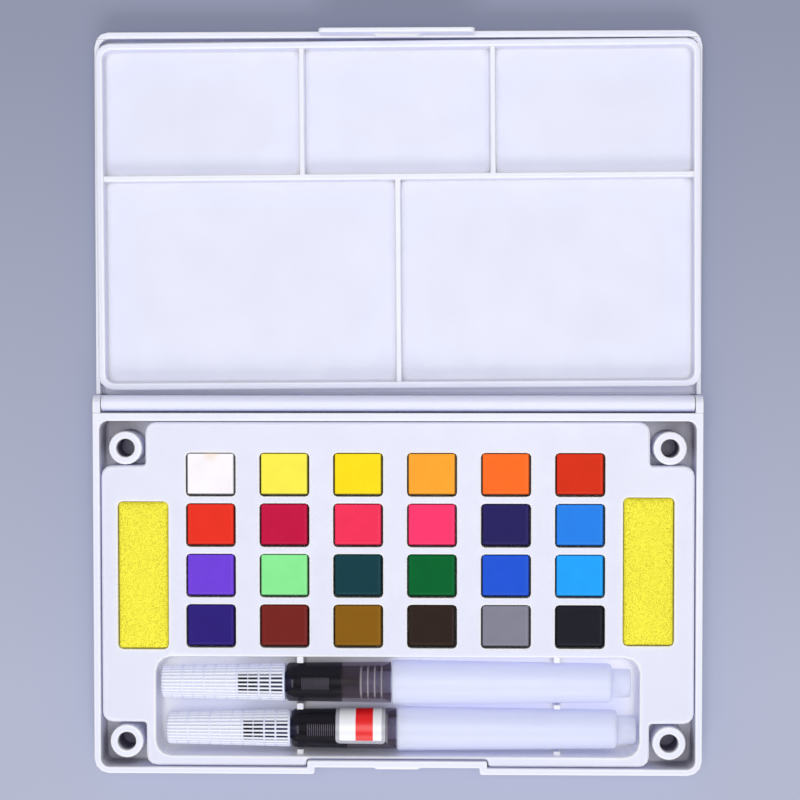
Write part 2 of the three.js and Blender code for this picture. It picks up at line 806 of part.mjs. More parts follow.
function paintTray() {
  const corners = trayCorners();
  const troughMiddle = (troughFront + troughRear) / 2;
  const troughShell = centredRectangle(
    0,
    troughMiddle,
    troughLength + 2 * troughWall,
    troughWidth + 2 * troughWall,
    troughCorner + troughWall,
  );
  let shape = solid(block(corners, trayBottom, trayTop, rimRound, trayEdgeRound));
  const hollow = [
    { points: roundedOutline(corners, traySkirt), height: trayBottom - overrun },
    { points: roundedOutline(corners, traySkirt), height: trayTop - trayPlate },
  ];
  shape = cut(shape, loft(hollow));
  shape = join(shape, block(troughShell, trayBottom, trayTop - trayPlate / 2, rimRound, rimRound));
  shape = join(shape, ...leftAndRight((side) => {
    const bottom = trayTop - spongePocketDepth - trayPlate;
    return block(spongePocket(side, pocketWall), bottom, trayTop - trayPlate / 2, rimRound, rimRound);
  }));
  for (let column = 0; column < pocketColumns; column++) {
    shape = join(shape, pocketColumnShell(column));
  }
  for (let column = 0; column < pocketColumns; column++) {
    for (let row = 0; row < pocketRows; row++) {
      shape = cut(shape, pocketCutter(column, row));
    }
  }
  shape = cut(shape, troughCutter(), ...leftAndRight((side) => {
    const size = { fillet: rimRound, mouthRound: rimRound, steps: smallCornerSteps };
    return cavity(spongePocket(side, 0), trayTop - spongePocketDepth, trayTop, size);
  }));
  for (const at of [gripStart + cradleFromGrip, barrelStart + barrelLength - cradleFromShoulder]) {
    shape = shape.add(brushCradle(rearBrushStart + at));
  }
  return geometryOf(shape);
}

// Paint cake: a block with a softened edge and a top that dips a little inside its rim
function paintCake() {
  const corners = centredRectangle(0, 0, pocketWidth - 2 * fitGap, pocketLength - 2 * fitGap, cakeCorner);
  const bottom = pocketFloor + seatGap;
  const top = trayTop - cakeDrop;
  return loft([
    { points: roundedOutline(corners, 0, smallCornerSteps), height: bottom },
    { points: roundedOutline(corners, 0, smallCornerSteps), height: top - cakeEdgeRound },
    { points: roundedOutline(corners, cakeEdgeRound, smallCornerSteps), height: top },
    { points: roundedOutline(corners, cakeRimWidth, smallCornerSteps), height: top - cakeDish },
  ]);
}

// Sponge: drawn in at half its height and crowned on top
function sponge() {
  const width = spongePocketWidth - 2 * fitGap;
  const corners = centredRectangle(0, 0, width, spongePocketLength - 2 * fitGap, spongeCorner);
  const bottom = trayTop - spongePocketDepth + seatGap;
  const shoulder = trayTop - spongeCrown / 2;
  const levels = [
    { inset: spongeDrawIn, height: bottom },
    { inset: spongeDrawIn, height: (bottom + shoulder) / 2 },
    { inset: 0, height: shoulder - spongeEdgeRound },
    { inset: spongeEdgeRound / 4, height: shoulder - spongeEdgeRound / 3 },
  ];
  for (let step = 1; step <= crownSteps; step++) {
    const share = step / crownSteps;
    const inset = spongeEdgeRound + (width / 2 - spongeEdgeRound - spongeCrown) * share ** 2;
    levels.push({ inset, height: shoulder + spongeCrown * Math.sin(share * Math.PI / 2) });
  }
  return loft(levels.map(({ inset, height }) => ({ points: roundedOutline(corners, inset), height })));
}

// An oval ring of points for a section of the brush, at a place along it
function oval(width, height, ribDepth = 0, sides = ovalSides) {
  const points = [];
  for (let i = 0; i < sides; i++) {
    const angle = (i / sides) * 2 * Math.PI;
    const ripple = ribDepth * (i % 2);
    const x = -(height / 2 - ripple) * Math.sin(angle);
    const y = (width / 2 - ripple) * Math.cos(angle);
    points.push(new THREE.Vector2(x, y));
  }
  return points;
}

// Lofts oval sections along the brush: each station has its place, width and height
function brushLoft(stations) {
  const levels = stations.map(({ at, width, height, ribDepth, sides }) => {
    return { points: oval(width, height, ribDepth, sides), height: at };
  });
  return lyingAlongX(loft(levels));
}

// A revolved piece of the brush, from a profile of places along it and radii there
function brushLathe(profile, sides = feedSides) {
  const points = profile.map(([at, radius]) => new THREE.Vector2(radius, at));
  return new THREE.LatheGeometry(points, sides).rotateZ(-Math.PI / 2);
}

function between(low, high, share) {
  return low + (high - low) * share;
}

// Outer width and height of a brush at a place along it
function brushSection(at) {
  if (at < gripStart) {
    const share = at / capLength;
    return {
      width: between(capTipWidth, capMouthWidth, share),
      height: between(capTipHeight, capMouthHeight, share),
    };
  }
  if (at < barrelStart) {
    const share = (at - gripStart) / gripLength;
    return {
      width: between(gripFrontWidth, gripRearWidth, share),
      height: between(gripFrontHeight, gripRearHeight, share),
    };
  }
  const share = Math.min((at - barrelStart) / barrelLength, 1);
  return {
    width: between(barrelFrontWidth, barrelRearWidth, share),
    height: between(barrelHeight, barrelRearHeight, share),
  };
}

// The brush's outer section at a place, made smaller all round
function sectionInside(at, wall, extra = {}) {
  const { width, height } = brushSection(at);
  return { at, width: width - 2 * wall, height: height - 2 * wall, ...extra };
}

// Cap: closed at its far end, ribbed along its length, and bored to go over the neck of the grip
function brushCap() {
  const ribs = { ribDepth: capRibDepth, sides: 2 * capRibs };
  const outer = brushLoft([
    { ...sectionInside(0, capEndRound, ribs), at: 0 },
    sectionInside(capEndRound / 3, capEndRound / 3, ribs),
    sectionInside(capEndRound, 0, ribs),
    sectionInside(capLength - capEndRound / 3, 0, ribs),
    { ...sectionInside(capLength, capRibDepth, ribs), at: capLength },
  ]);
  const bore = brushLoft([
    sectionInside(capWall + capEndRound, capWall + capEndRound),
    sectionInside(capWall + 2 * capEndRound, capWall),
    sectionInside(capLength - gripNeckLength, capWall),
    { ...sectionInside(capLength, capWall), at: capLength + overrun },
  ]);
  return geometryOf(cut(solid(outer), bore));
}

// Grip sleeve: a shell with a neck that the cap goes over and an open rear for the reservoir's thread
function brushGrip() {
  const end = gripStart + gripLength;
  const outer = brushLoft([
    sectionInside(neckTip, neckInset),
    sectionInside(gripStart - partingGap, neckInset),
    sectionInside(gripStart, gripShoulder),
    sectionInside(gripStart + gripShoulder / 3, gripShoulder / 3),
    sectionInside(gripStart + gripShoulder, 0),
    sectionInside(end - rimRound, 0),
    { ...sectionInside(end - rimRound, rimRound), at: end },
  ]);
  const bore = brushLoft([
    { ...sectionInside(neckTip, neckInset + gripNeckWall), at: neckTip - overrun },
    { ...sectionInside(capLength, neckInset + gripNeckWall), at: gripStart },
    sectionInside(gripStart + gripNeckLength, gripWall),
    { ...sectionInside(end - rimRound, gripWall), at: end + overrun },
  ]);
  return geometryOf(cut(solid(outer), bore));
}

// Reservoir: a squeezable oval barrel with a stepped tail, open at a threaded neck
function brushReservoir() {
  const shoulder = barrelStart + barrelLength;
  const tail = shoulder + tailLength;
  const tailSection = (at, inset) => ({ at, width: tailWidth - 2 * inset, height: tailHeight - 2 * inset });
  const outer = brushLoft([
    sectionInside(barrelStart, barrelShoulder / 2),
    sectionInside(barrelStart + barrelShoulder / 2, 0),
    sectionInside(shoulder - barrelShoulder, 0),
    sectionInside(shoulder - barrelShoulder / 3, barrelShoulder / 3),
    { ...sectionInside(shoulder - rimRound, barrelShoulder), at: shoulder },
    tailSection(shoulder, 0),
    tailSection(tail - rimRound, 0),
    tailSection(tail, rimRound),
  ]);
  const thread = [[neckStart, 0]];
  for (let turn = 0; turn < threadCount; turn++) {
    const at = neckStart + turn * threadPitch;
    thread.push([at, neckRadius]);
    thread.push([at + threadPitch / 3, neckRadius + threadDepth]);
    thread.push([at + 2 * threadPitch / 3, neckRadius]);
  }
  thread.push([barrelStart + barrelShoulder, neckRadius]);
  thread.push([barrelStart + barrelShoulder, 0]);
  const round = (at) => ({ at, width: 2 * boreRadius, height: 2 * boreRadius });
  const bore = brushLoft([
    round(neckStart - overrun),
    round(barrelStart),
    sectionInside(barrelStart + gripShoulder + barrelShoulder, barrelWall),
    sectionInside(shoulder - barrelShoulder - barrelWall, barrelWall),
    sectionInside(shoulder - barrelWall, barrelWall + barrelShoulder),
  ]);
  const whole = join(solid(outer), brushLathe(thread, threadSides));
  return geometryOf(cut(whole, bore));
}

// Feed: an oval ribbed core between two round stems, which carries water from the neck to the nib
function brushFeed() {
  const start = gripStart + gripNeckLength / 2;
  const coreStart = gripStart + gripNeckLength + fitGap;
  const coreEnd = coreStart + feedCoreLength;
  const stemSize = 2 * (boreRadius - feedStemGap);
  const stem = (at) => ({ at, width: stemSize, height: stemSize, sides: feedSides });
  const core = (at, inset) => {
    return { ...sectionInside(coreStart, gripWall + fitGap + inset), at, sides: feedSides };
  };
  const stations = [stem(start), stem(coreStart)];
  for (let rib = 0; rib < feedRibs; rib++) {
    const at = coreStart + rib * feedRibPitch;
    stations.push(core(at, 0), core(at + feedRibPitch / 2, feedRibDepth));
  }
  stations.push(core(coreStart + feedRibs * feedRibPitch, 0), core(coreEnd, 0));
  stations.push(stem(coreEnd), stem(neckStart + feedStemInsert));
  return brushLoft(stations);
}

// Nib: a holder that flattens from the neck of the grip to a flat mouth, with a socket for the tuft
function brushNib() {
  const mouth = gripStart - nibLength;
  const end = gripStart + gripNeckLength / 2 - fitGap;
  const root = (at) => ({ ...sectionInside(neckTip, neckInset + gripNeckWall + fitGap), at });
  const outer = brushLoft([
    { at: mouth, width: nibMouthWidth, height: nibMouthHeight },
    root(end - nibRootLength),
    root(end),
  ]);
  const socket = brushLoft([
    { at: mouth - overrun, ...socketSize() },
    { at: mouth + nibSocketDepth, ...socketSize() },
  ]);
  return geometryOf(cut(solid(outer), socket));
}

function socketSize() {
  return { width: nibMouthWidth - 2 * nibSocketWall, height: nibMouthHeight - 2 * nibSocketWall };
}

// Places of the strands across the flat tuft: a close grid inside an oval
function strandPlaces(width, height) {
  const columns = Math.floor(width / 2 / strandColumnPitch);
  const rows = Math.floor(height / 2 / strandRowPitch);
  const places = [];
  for (let row = -rows; row <= rows; row++) {
    for (let column = -columns; column <= columns; column++) {
      const place = { x: row * strandRowPitch, y: column * strandColumnPitch };
      if (Math.hypot(place.y / (width / 2), place.x / (height / 2)) <= 1) {
        places.push(place);
      }
    }
  }
  return places;
}

// One bristle: three-sided, fanning out a little and thinning to a point, the outer ones a little shorter
function strand({ x, y }, index, root, reach, halfWidthOfTuft) {
  const length = reach * (1 - outerShorterShare * (y / halfWidthOfTuft) ** 2);
  const goldenAngle = Math.PI * (3 - Math.sqrt(5));
  const positions = [];
  for (let corner = 0; corner < strandSides; corner++) {
    const turn = (corner / strandSides) * 2 * Math.PI + index * goldenAngle;
    positions.push(x + strandRadius * Math.cos(turn), y + strandRadius * Math.sin(turn), root);
  }
  positions.push(x * tipSpreadShare, y * tipSpreadShare, root + length);
  const geometry = new THREE.BufferGeometry();
  geometry.setAttribute('position', new THREE.Float32BufferAttribute(positions, 3));
  geometry.setIndex([0, 2, 1, 0, 1, 3, 1, 2, 3, 2, 0, 3]);
  return geometry;
}

// Tuft: strands that stand in a flat oval slice of backing, which sits in the socket of the nib
function brushTuft() {
  const socket = socketSize();
  const width = socket.width - 2 * fitGap;
  const height = socket.height - 2 * fitGap;
  const foot = gripStart - nibLength + nibSocketDepth - fitGap;
  const backing = brushLoft([
    { at: foot - tuftBackingLength, width, height },
    { at: foot, width, height },
  ]);
  const root = tuftBackingLength / 2;
  const reach = tuftLength + nibSocketDepth - fitGap - root;
  const places = strandPlaces(width - 2 * tuftEdge, height - 2 * tuftEdge);
  const strands = places.map((place, index) => {
    const geometry = strand(place, index, root, reach, width / 2).rotateY(-Math.PI / 2);
    return solid(geometry.translate(foot, 0, 0));
  });
  return geometryOf(solid(backing).add(wasm.Manifold.union(strands)));
}

const whitePlastic = { color: 0xe9ebfe, roughness: 0.32, metalness: 0 };

function piece(name, geometry, look) {
  const mesh = new THREE.Mesh(geometry, new THREE.MeshStandardMaterial(look));
  mesh.name = name;
  return mesh;
}

// Colours of the paint cakes, from the rear row to the front row and from left to right
const paintRows = [
  [
    ['white', 0xfbf6fc],
    ['lemon_yellow', 0xfcef50],
    ['golden_yellow', 0xfee01c],
    ['orange_yellow', 0xffa833],
    ['orange', 0xff6f27],
    ['vermilion', 0xd9331a],
  ],
  [
    ['scarlet', 0xea3323],
    ['crimson', 0xc41643],
    ['rose', 0xf5355b],
    ['pink', 0xff3a70],
    ['navy', 0x29235f],
    ['cerulean_blue', 0x2a82eb],
  ],
  [
    ['violet', 0x7142db],
    ['light_green', 0x8cf49a],
    ['deep_teal', 0x163e47],
    ['green', 0x06642f],
    ['royal_blue', 0x2456d6],
    ['sky_blue', 0x24a3fc],
  ],
  [
    ['indigo', 0x2e2079],
    ['red_brown', 0x762521],
    ['ochre', 0x926416],
    ['sepia', 0x30241f],
    ['grey', 0x838394],
    ['black', 0x20202a],
  ],
];

const capLook = { color: 0xe6e8f6, roughness: 0.25, metalness: 0, transparent: true, opacity: 0.45 };
const gripLook = { color: 0x38343a, roughness: 0.25, metalness: 0, transparent: true, opacity: 0.85 };

function brush(name, start, y) {
  const group = new THREE.Group();
  group.position.set(start, y, brushAxisHeight);
  group.add(
    piece(`${name}_cap`, brushCap(), capLook),
    piece(`${name}_tuft`, brushTuft(), { color: 0x23264a, roughness: 0.7, metalness: 0 }),
    piece(`${name}_nib`, brushNib(), { color: 0x4a5070, roughness: 0.4, metalness: 0 }),
    piece(`${name}_feed`, brushFeed(), { color: 0x1c1b20, roughness: 0.5, metalness: 0 }),
    piece(`${name}_grip`, brushGrip(), gripLook),
    piece(`${name}_reservoir`, brushReservoir(), { color: 0xe2e6fd, roughness: 0.35, metalness: 0 }),
  );
  return group;
}

function paletteInLid() {
  const mesh = piece('mixing_palette', mixingPalette(), whitePlastic);
  mesh.position.set(paletteSideShift, lidInner.rear - paletteFrontGap - paletteLength / 2, 0);
  mesh.rotation.z = paletteSkewShare * Math.PI;
  return mesh;
}

const paintBox = new THREE.Group();
paintBox.add(
  piece('base_case', baseCase(), whitePlastic),
  piece('lid', lid(), whitePlastic),
  paletteInLid(),
  piece('paint_tray', paintTray(), whitePlastic),
  brush('rear_brush', rearBrushStart, rearBrushY),
  brush('front_brush', frontBrushStart, frontBrushY),
);

paintRows.forEach((paints, row) => {
  paints.forEach(([name, color], column) => {
    const cake = piece(`paint_${name}`, paintCake(), { color, roughness: 0.55, metalness: 0 });
    cake.position.set(columnX(column), rowY(row), 0);
    paintBox.add(cake);
  });
});

for (const [name, side] of [['sponge_left', -1], ['sponge_right', 1]]) {
  const mesh = piece(name, sponge(), { color: 0xfaf04b, roughness: 0.95, metalness: 0 });
  mesh.position.set(spongePlace(side).x, spongePlace(side).y, 0);
  paintBox.add(mesh);
}

export default paintBox;
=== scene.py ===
"""Looks of a watercolour paint box that lies open: finer forms for its paints, sponges and brushes,
a procedural material for every surface, and the floor, the lamps and the camera.
Metres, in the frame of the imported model: the base lies towards -Y and the open lid towards +Y."""

import math

import bpy
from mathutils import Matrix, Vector, noise


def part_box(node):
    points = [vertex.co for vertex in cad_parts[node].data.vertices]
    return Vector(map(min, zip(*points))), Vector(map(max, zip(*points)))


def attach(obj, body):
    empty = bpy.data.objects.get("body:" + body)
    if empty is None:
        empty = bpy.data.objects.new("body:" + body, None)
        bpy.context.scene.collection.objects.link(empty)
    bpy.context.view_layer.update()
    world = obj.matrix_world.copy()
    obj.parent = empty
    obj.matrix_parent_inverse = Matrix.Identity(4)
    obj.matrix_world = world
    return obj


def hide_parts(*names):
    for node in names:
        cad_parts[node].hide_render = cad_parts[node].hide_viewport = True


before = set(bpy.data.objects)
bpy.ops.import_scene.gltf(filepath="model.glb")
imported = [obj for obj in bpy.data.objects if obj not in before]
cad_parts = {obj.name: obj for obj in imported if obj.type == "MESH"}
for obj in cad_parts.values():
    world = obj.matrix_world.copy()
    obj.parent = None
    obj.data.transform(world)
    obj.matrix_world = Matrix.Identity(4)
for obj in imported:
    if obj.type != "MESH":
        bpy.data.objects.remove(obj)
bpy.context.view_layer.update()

# Tones as they are seen, each channel from 0 to 255
WHITE = (255, 255, 255)
WHITE_PLASTIC = (227, 229, 255)
# Painted light in the shaded places of the white mouldings
LIGHT_PAINTED_IN_SHADE = (253, 252, 255)
# Painted shade in their hollows
HOLLOW_PAINTED_SHADE = (212, 198, 218)
# Painted shade in their deep holes
DEEP_PAINTED_SHADE = (38, 38, 92)
FLOOR_NEAR = (175, 180, 203)
# Painted shade towards the rear of the floor
FLOOR_FAR_SHADE = (141, 146, 170)
MILKY = (223, 227, 255)
CAP_MILK = (226, 230, 252)
SMOKE = (84, 76, 82)
SMOKE_OVER_CORE = (36, 35, 44)
SMOKE_TINT = (236, 232, 238)
CORE = (15, 15, 20)
# Pale fins of the feed, also used for a painted highlight at its front collar
PALE_FIN_AND_HIGHLIGHT = (240, 242, 250)
THREAD = (226, 222, 226)
NIB = (34, 42, 88)
BRISTLE = (6, 10, 54)
SPONGE = (251, 241, 72)
# Painted shade in the foam's pores
PORE_SHADE = (158, 148, 0)
LABEL_SILVER = (178, 180, 190)
LABEL_PANEL = (240, 241, 248)
LABEL_BLOCK = (238, 14, 20)
STAIN = (240, 218, 182)
DUST = (120, 118, 130)

# Paints, row by row from the rear left
PAINTS = {
    "white": (251, 246, 252),
    "lemon_yellow": (252, 239, 80),
    "golden_yellow": (254, 224, 28),
    "orange_yellow": (255, 168, 51),
    "orange": (255, 111, 39),
    "vermilion": (217, 51, 26),
    "scarlet": (234, 51, 35),
    "crimson": (196, 22, 67),
    "rose": (245, 53, 91),
    "pink": (255, 58, 112),
    "navy": (41, 35, 95),
    "cerulean_blue": (42, 130, 235),
    "violet": (113, 66, 219),
    "light_green": (139, 236, 150),
    "deep_teal": (22, 62, 71),
    "green": (6, 100, 47),
    "royal_blue": (36, 86, 214),
    "sky_blue": (36, 163, 252),
    "indigo": (46, 32, 121),
    "red_brown": (118, 37, 33),
    "ochre": (137, 93, 20),
    "sepia": (48, 36, 31),
    "grey": (131, 131, 148),
    "black": (32, 32, 42),
}

# How a screen's tone follows light: straight near black, and a power curve above it
TONE_TOP = 255
TOE_END_SHARE = 0.04045
TOE_SLOPE = 12.92
CURVE_LIFT_SHARE = 0.055
CURVE_POWER = 2.4

# Grain of the materials: the range that a noise fills, the size of one patch, and how far it stands up
NOISE_SHARES = (0.3, 0.7)
PLASTIC_CLOUD = 0.036
PLASTIC_WAVE = 0.022
PLASTIC_WAVE_HEIGHT = 0.0012
PLASTIC_GLOSS_PATCH = 0.011
FINE_GRAIN = 0.0004
FINE_HEIGHT = 0.0002
PAINT_CLOUD = 0.0062
PAINT_GRAIN = 0.0018
PAINT_GRAIN_HEIGHT = 0.0006
FOAM_PORE = 0.00045
FOAM_PATCH = 0.0013
FOAM_CLOUD = 0.009
FOAM_DEPTH = 0.00035
MILKY_CLOUD = 0.007
MOULDED_GRAIN = 0.0008
FIBRE_STREAK = 0.0005
ALONG_X_SHARES = (0.06, 1, 1)
FLOOR_CLOUD = 0.16

# Detail of the noises: how many finer layers a noise has
WAVE_DETAIL = 1
STREAK_DETAIL = 2
PLAIN_DETAIL = 3
PAINT_DETAIL = 4

# How dark a patch of each material gets, as a share of its tone
PLASTIC_CLOUD_SHARE = 0.988
PAINT_CLOUD_SHARE = 0.972
FOAM_CLOUD_SHARE = 0.98
SMOKE_CLOUD_SHARE = 0.94
MILKY_CLOUD_SHARE = 0.985
CORE_CLOUD_SHARE = 0.8
NIB_CLOUD_SHARE = 0.85
BRISTLE_CLOUD_SHARE = 0.6
SILVER_CLOUD_SHARE = 0.94
PANEL_CLOUD_SHARE = 0.98
BLOCK_CLOUD_SHARE = 0.96
FLOOR_CLOUD_SHARE = 0.985

# Gloss of the materials: roughness from patch to patch, how they bend light and how strongly they shine
PLASTIC_ROUGH_SHARES = (0.32, 0.42)
PAINT_ROUGH_SHARES = (0.5, 0.62)
CAP_ROUGH_SHARES = (0.2, 0.32)
SMOKE_ROUGH_SHARES = (0.14, 0.24)
MILKY_ROUGH_SHARES = (0.34, 0.42)
FOAM_ROUGH_SHARE = 0.95
CORE_ROUGH_SHARE = 0.45
NIB_ROUGH_SHARE = 0.35
BRISTLE_ROUGH_SHARE = 0.5
LABEL_ROUGH_SHARE = 0.3
FLOOR_ROUGH_SHARE = 0.8
PLASTIC_BENDING = 1.49
PAINT_BENDING = 1.45
FOAM_BENDING = 1.3
RESIN_BENDING = 1.5
PAINT_SHINE_SHARE = 0.05
SMOKE_SHINE_SHARE = 0.15

# Light in the materials: how far it spreads in them, and how much of it passes straight through
PLASTIC_LIGHT_REACH = 0.003
MILKY_LIGHT_REACH = 0.006
PLASTIC_SPREAD_SHARE = 0.5
MILKY_SPREAD_SHARE = 0.8
MILKY_CLEAR_SHARES = (0.18, 0.42)
MILKY_LIT_SHARE = 0.9
CAP_HAZE_SHARE = 0.06
CAP_LIT_SHARE = 0.7
SMOKE_CLEAR_SHARES = (0.77, 0.4)
THREAD_CLEAR_SHARE = 0.15

# Strength of the bumps
SATIN_BUMP_SHARE = 0.05
PAINT_BUMP_SHARE = 0.08
FOAM_BUMP_SHARE = 0.5
CAP_BUMP_SHARE = 0.04
MOULDED_BUMP_SHARE = 0.1
LABEL_BUMP_SHARE = 0.3

# Pores of the foam, in painted shade as deep as they are: how far from a cell's middle, in cells, a pore
# starts and is deepest, then how deep the pores are in a shallow and a deep patch, and away from the edges
FOAM_PORE_SHARES = (0.46, 0.22)
FOAM_PATCH_SHARES = (0.45, 1)
FOAM_MIDDLE_SHARE = 0.6

# White mouldings: the lips get a painted highlight; for the painted shade of depths and hollows and the
# painted light of shaded places, a pair says how open a place is where the tone is full and where it is
# gone
WELD_DISTANCE = 0.00001
SMOOTH_ANGLE = math.radians(50)
EDGE_WIDTH = 0.00042
LIP_WIDTH = 0.0011
LIP_TURN_SHARES = (0.999, 0.93)
EDGE_SAMPLES = 4
LIP_SAMPLES = 6
DEPTH_SAMPLES = 6
DEPTH_REACH = 0.012
DEPTH_SHARES = (0.13, 0.24)
HOLLOW_SHARES = (0.22, 0.34)
PAINTED_LIGHT_SHARES = (0.3, 0.52)
TRAY_PAINTED_LIGHT_SHARES = (0.5, 0.88)
DUST_SPACING = 0.038
DUST_SIZE_SHARES = (0.0072, 0.004)
DUSTY_SHARE = 0.74

# Paint cakes, dried a little smaller than their pockets
CAKE_SIDE_SHRINKAGE = 0.00014
CAKE_FRONT_SHRINKAGE = 0.00032
CAKE_CORNER = 0.0009
CAKE_SHOULDER = 0.0003
CAKE_DISH = 0.00008
CAKE_RIM = 0.0016
CAKE_WAVE = 0.00004
CAKE_WAVE_SIZE = 0.006
# The crust by the walls is partly paint residue and partly painted shade
CRUST_AND_SHADE_RIGHT = 0.0006
CRUST_AND_SHADE_FRONT = 0.0005
CRUST_AND_SHADE_LEFT = 0.0003
CRUST_AND_SHADE_REAR = 0.00012
CRUST_AND_SHADE_SOFT_SHARE = 0.6
# The pale strip by the edge is a painted highlight
STRIP_FROM_EDGE = 0.0009
STRIP_WIDTH = 0.0003
STRIP_DRIFT_SHARES = (0.5, 1)
FAINT_STRIP_SHARE = 0.2
STRIP_PALER_SHARE = 0.1
CRUST_AND_SHADE_TONE_SHARE = 0.4
STAIN_SIZE = 0.0034
STAIN_SHARE = 0.7

# Sponges
SPONGE_CORNER = 0.0009
SPONGE_SHOULDER = 0.0012
SPONGE_CROWN = 0.0007
SPONGE_CROWN_REACH = 0.0083
SPONGE_DRAW_IN = 0.0004
SPONGE_GRAIN = 0.0001
SPONGE_GRAIN_SIZE = 0.0007
SPONGE_EDGE_ZONE = 0.0045
SPONGE_RINGS = 40
SPONGE_RING_POWER = 1.15
SPONGE_LAST_SHARE = 0.004

# Brushes: a width or height share gives an end of a piece against its widest place
OVAL_POINTS = 64
ROUND_STEPS = 6
PARTING_GAP = 0.0003
CAP_TIP_WIDTH_SHARE = 0.853
CAP_TIP_HEIGHT_SHARE = 0.887
CAP_RIBS = 28
POINTS_PER_RIB = 10
CAP_RIB_DEPTH = 0.00028
CAP_RIB_SHARE = 0.3
CAP_END_ROUND = 0.0011
CAP_WALL = 0.0011
CAP_RING_PITCH = 0.0038
CAP_RING_WIDTH = 0.00045
CAP_FIRST_RING = 0.0035
CAP_COLLAR = 0.0007
CAP_STEP = 0.0003
CAP_CLEARING = 0.0008
CAP_CLEAR_HALF_WIDTH = 0.0033
CAP_FAR_CLEAR_SHARE = 0.24
GRIP_FRONT_WIDTH_SHARE = 0.936
GRIP_FRONT_HEIGHT_SHARE = 0.949
GRIP_SHOULDER = 0.0014
GRIP_WALL = 0.0013
THREAD_TURNS = 4
THREAD_PITCH = 0.00235
THREAD_FROM_END = 0.0032
THREAD_HALF_WIDTH = 0.00042
THREAD_HEIGHT = 0.0006
FEED_CORE_FROM_FRONT = 0.0008
FEED_CORE_LENGTH = 0.0185
FEED_FIN_FROM_FRONT = 0.0047
FEED_FIN_PITCH = 0.00069
FEED_FIN_HEIGHT = 0.0003
FEED_FIN_HALF_WIDTH = 0.0022
FEED_FINS = 14
FEED_FIN_SHARES = [(0, False), (0.08, True), (0.26, True), (0.34, False)]
FEED_COLLAR_LENGTH = 0.001
FEED_COLLAR_HALF_WIDTH = 0.0013
FEED_STEM_RADIUS = 0.0013
BARREL_REAR_WIDTH_SHARE = 0.877
BARREL_REAR_HEIGHT_SHARE = 0.95
BARREL_ROUND = 0.0017
TAIL_LENGTH = 0.0063
TAIL_WIDTH_SHARE = 0.636
TAIL_HEIGHT_SHARE = 0.783
TAIL_ROUND = 0.0006
NECK_RADIUS = 0.0037
NECK_LENGTH = 0.0112
TUFT_STRANDS = 620
TUFT_HALF_WIDTH = 0.0031
TUFT_HALF_HEIGHT = 0.0011
TUFT_TIP_SHARE = 1.04
TUFT_UNEVEN_SHARE = 0.06
STRAND_RADIUS = 0.00009
STRAND_SIDES = 3
STRAND_TAPER_SHARES = [(0, 1), (0.5, 0.85), (0.85, 0.55), (1, 0.12)]

# Plate on the grip of the front brush, bent round its upper side
LABEL_LENGTH = 0.0171
LABEL_FROM_GRIP_END = 0.0036
LABEL_START_ANGLE = math.radians(-25)
LABEL_END_ANGLE = math.radians(130)
LABEL_BORDER_WIDTH = 0.0013
LABEL_CORNER = 0.0016
LABEL_THICKNESS = 0.00012
LABEL_RINGS = 36
LABEL_POINTS_PER_CORNER = 9
LABEL_POINTS_PER_SIDE = 20
LABEL_BLOCK_SHARES = (0.4, 0.75)
LABEL_SOFT_SHARE = 0.004
LABEL_EDGE_SOFTNESS = 0.00006

# Floor, lamps and camera
FLOOR_REACH = 3
FLOOR_FADE = (-0.1, 0.13)
WORLD_LEVEL = 0.5
FRONT_LAMP_PLACE = (0, -1.9, 1.9)
FRONT_LAMP_SIZE = (2.2, 1)
FRONT_LAMP_POWER = 23
OVERHEAD_LAMP_PLACE = (0, 0.1, 2.4)
OVERHEAD_LAMP_SIZE = (1.4, 1.2)
OVERHEAD_LAMP_POWER = 22
SENSOR_WIDTH = 36
LENS = 90.7
CAMERA_PLACE = (0.01884, 0.02578, 0.7)
CAMERA_TURN = (-0.0357, 0.0259, -0.0005)


def linear(tone):
    """One channel of a tone, as light"""
    share = tone / TONE_TOP
    if share <= TOE_END_SHARE:
        return share / TOE_SLOPE
    return ((share + CURVE_LIFT_SHARE) / (1 + CURVE_LIFT_SHARE)) ** CURVE_POWER


def colour(tone):
    """A tone as an opaque colour"""
    return tuple(linear(channel) for channel in tone) + (1,)


def mix(low, high, share):
    return low + (high - low) * share


def shade(tone, share):
    """A darker tone of the same hue"""
    return tuple(channel * share for channel in tone)


def paler(tone, share):
    return tuple(mix(channel, white, share) for channel, white in zip(tone, WHITE))


def clamp(value):
    return min(max(value, 0), 1)


def smooth(share):
    return share * share * (3 - 2 * share)


def soft_step(distance, width):
    """Rises from 0 to 1 over a width, and is half way up at zero"""
    return smooth(clamp(distance / width + 1 / 2))


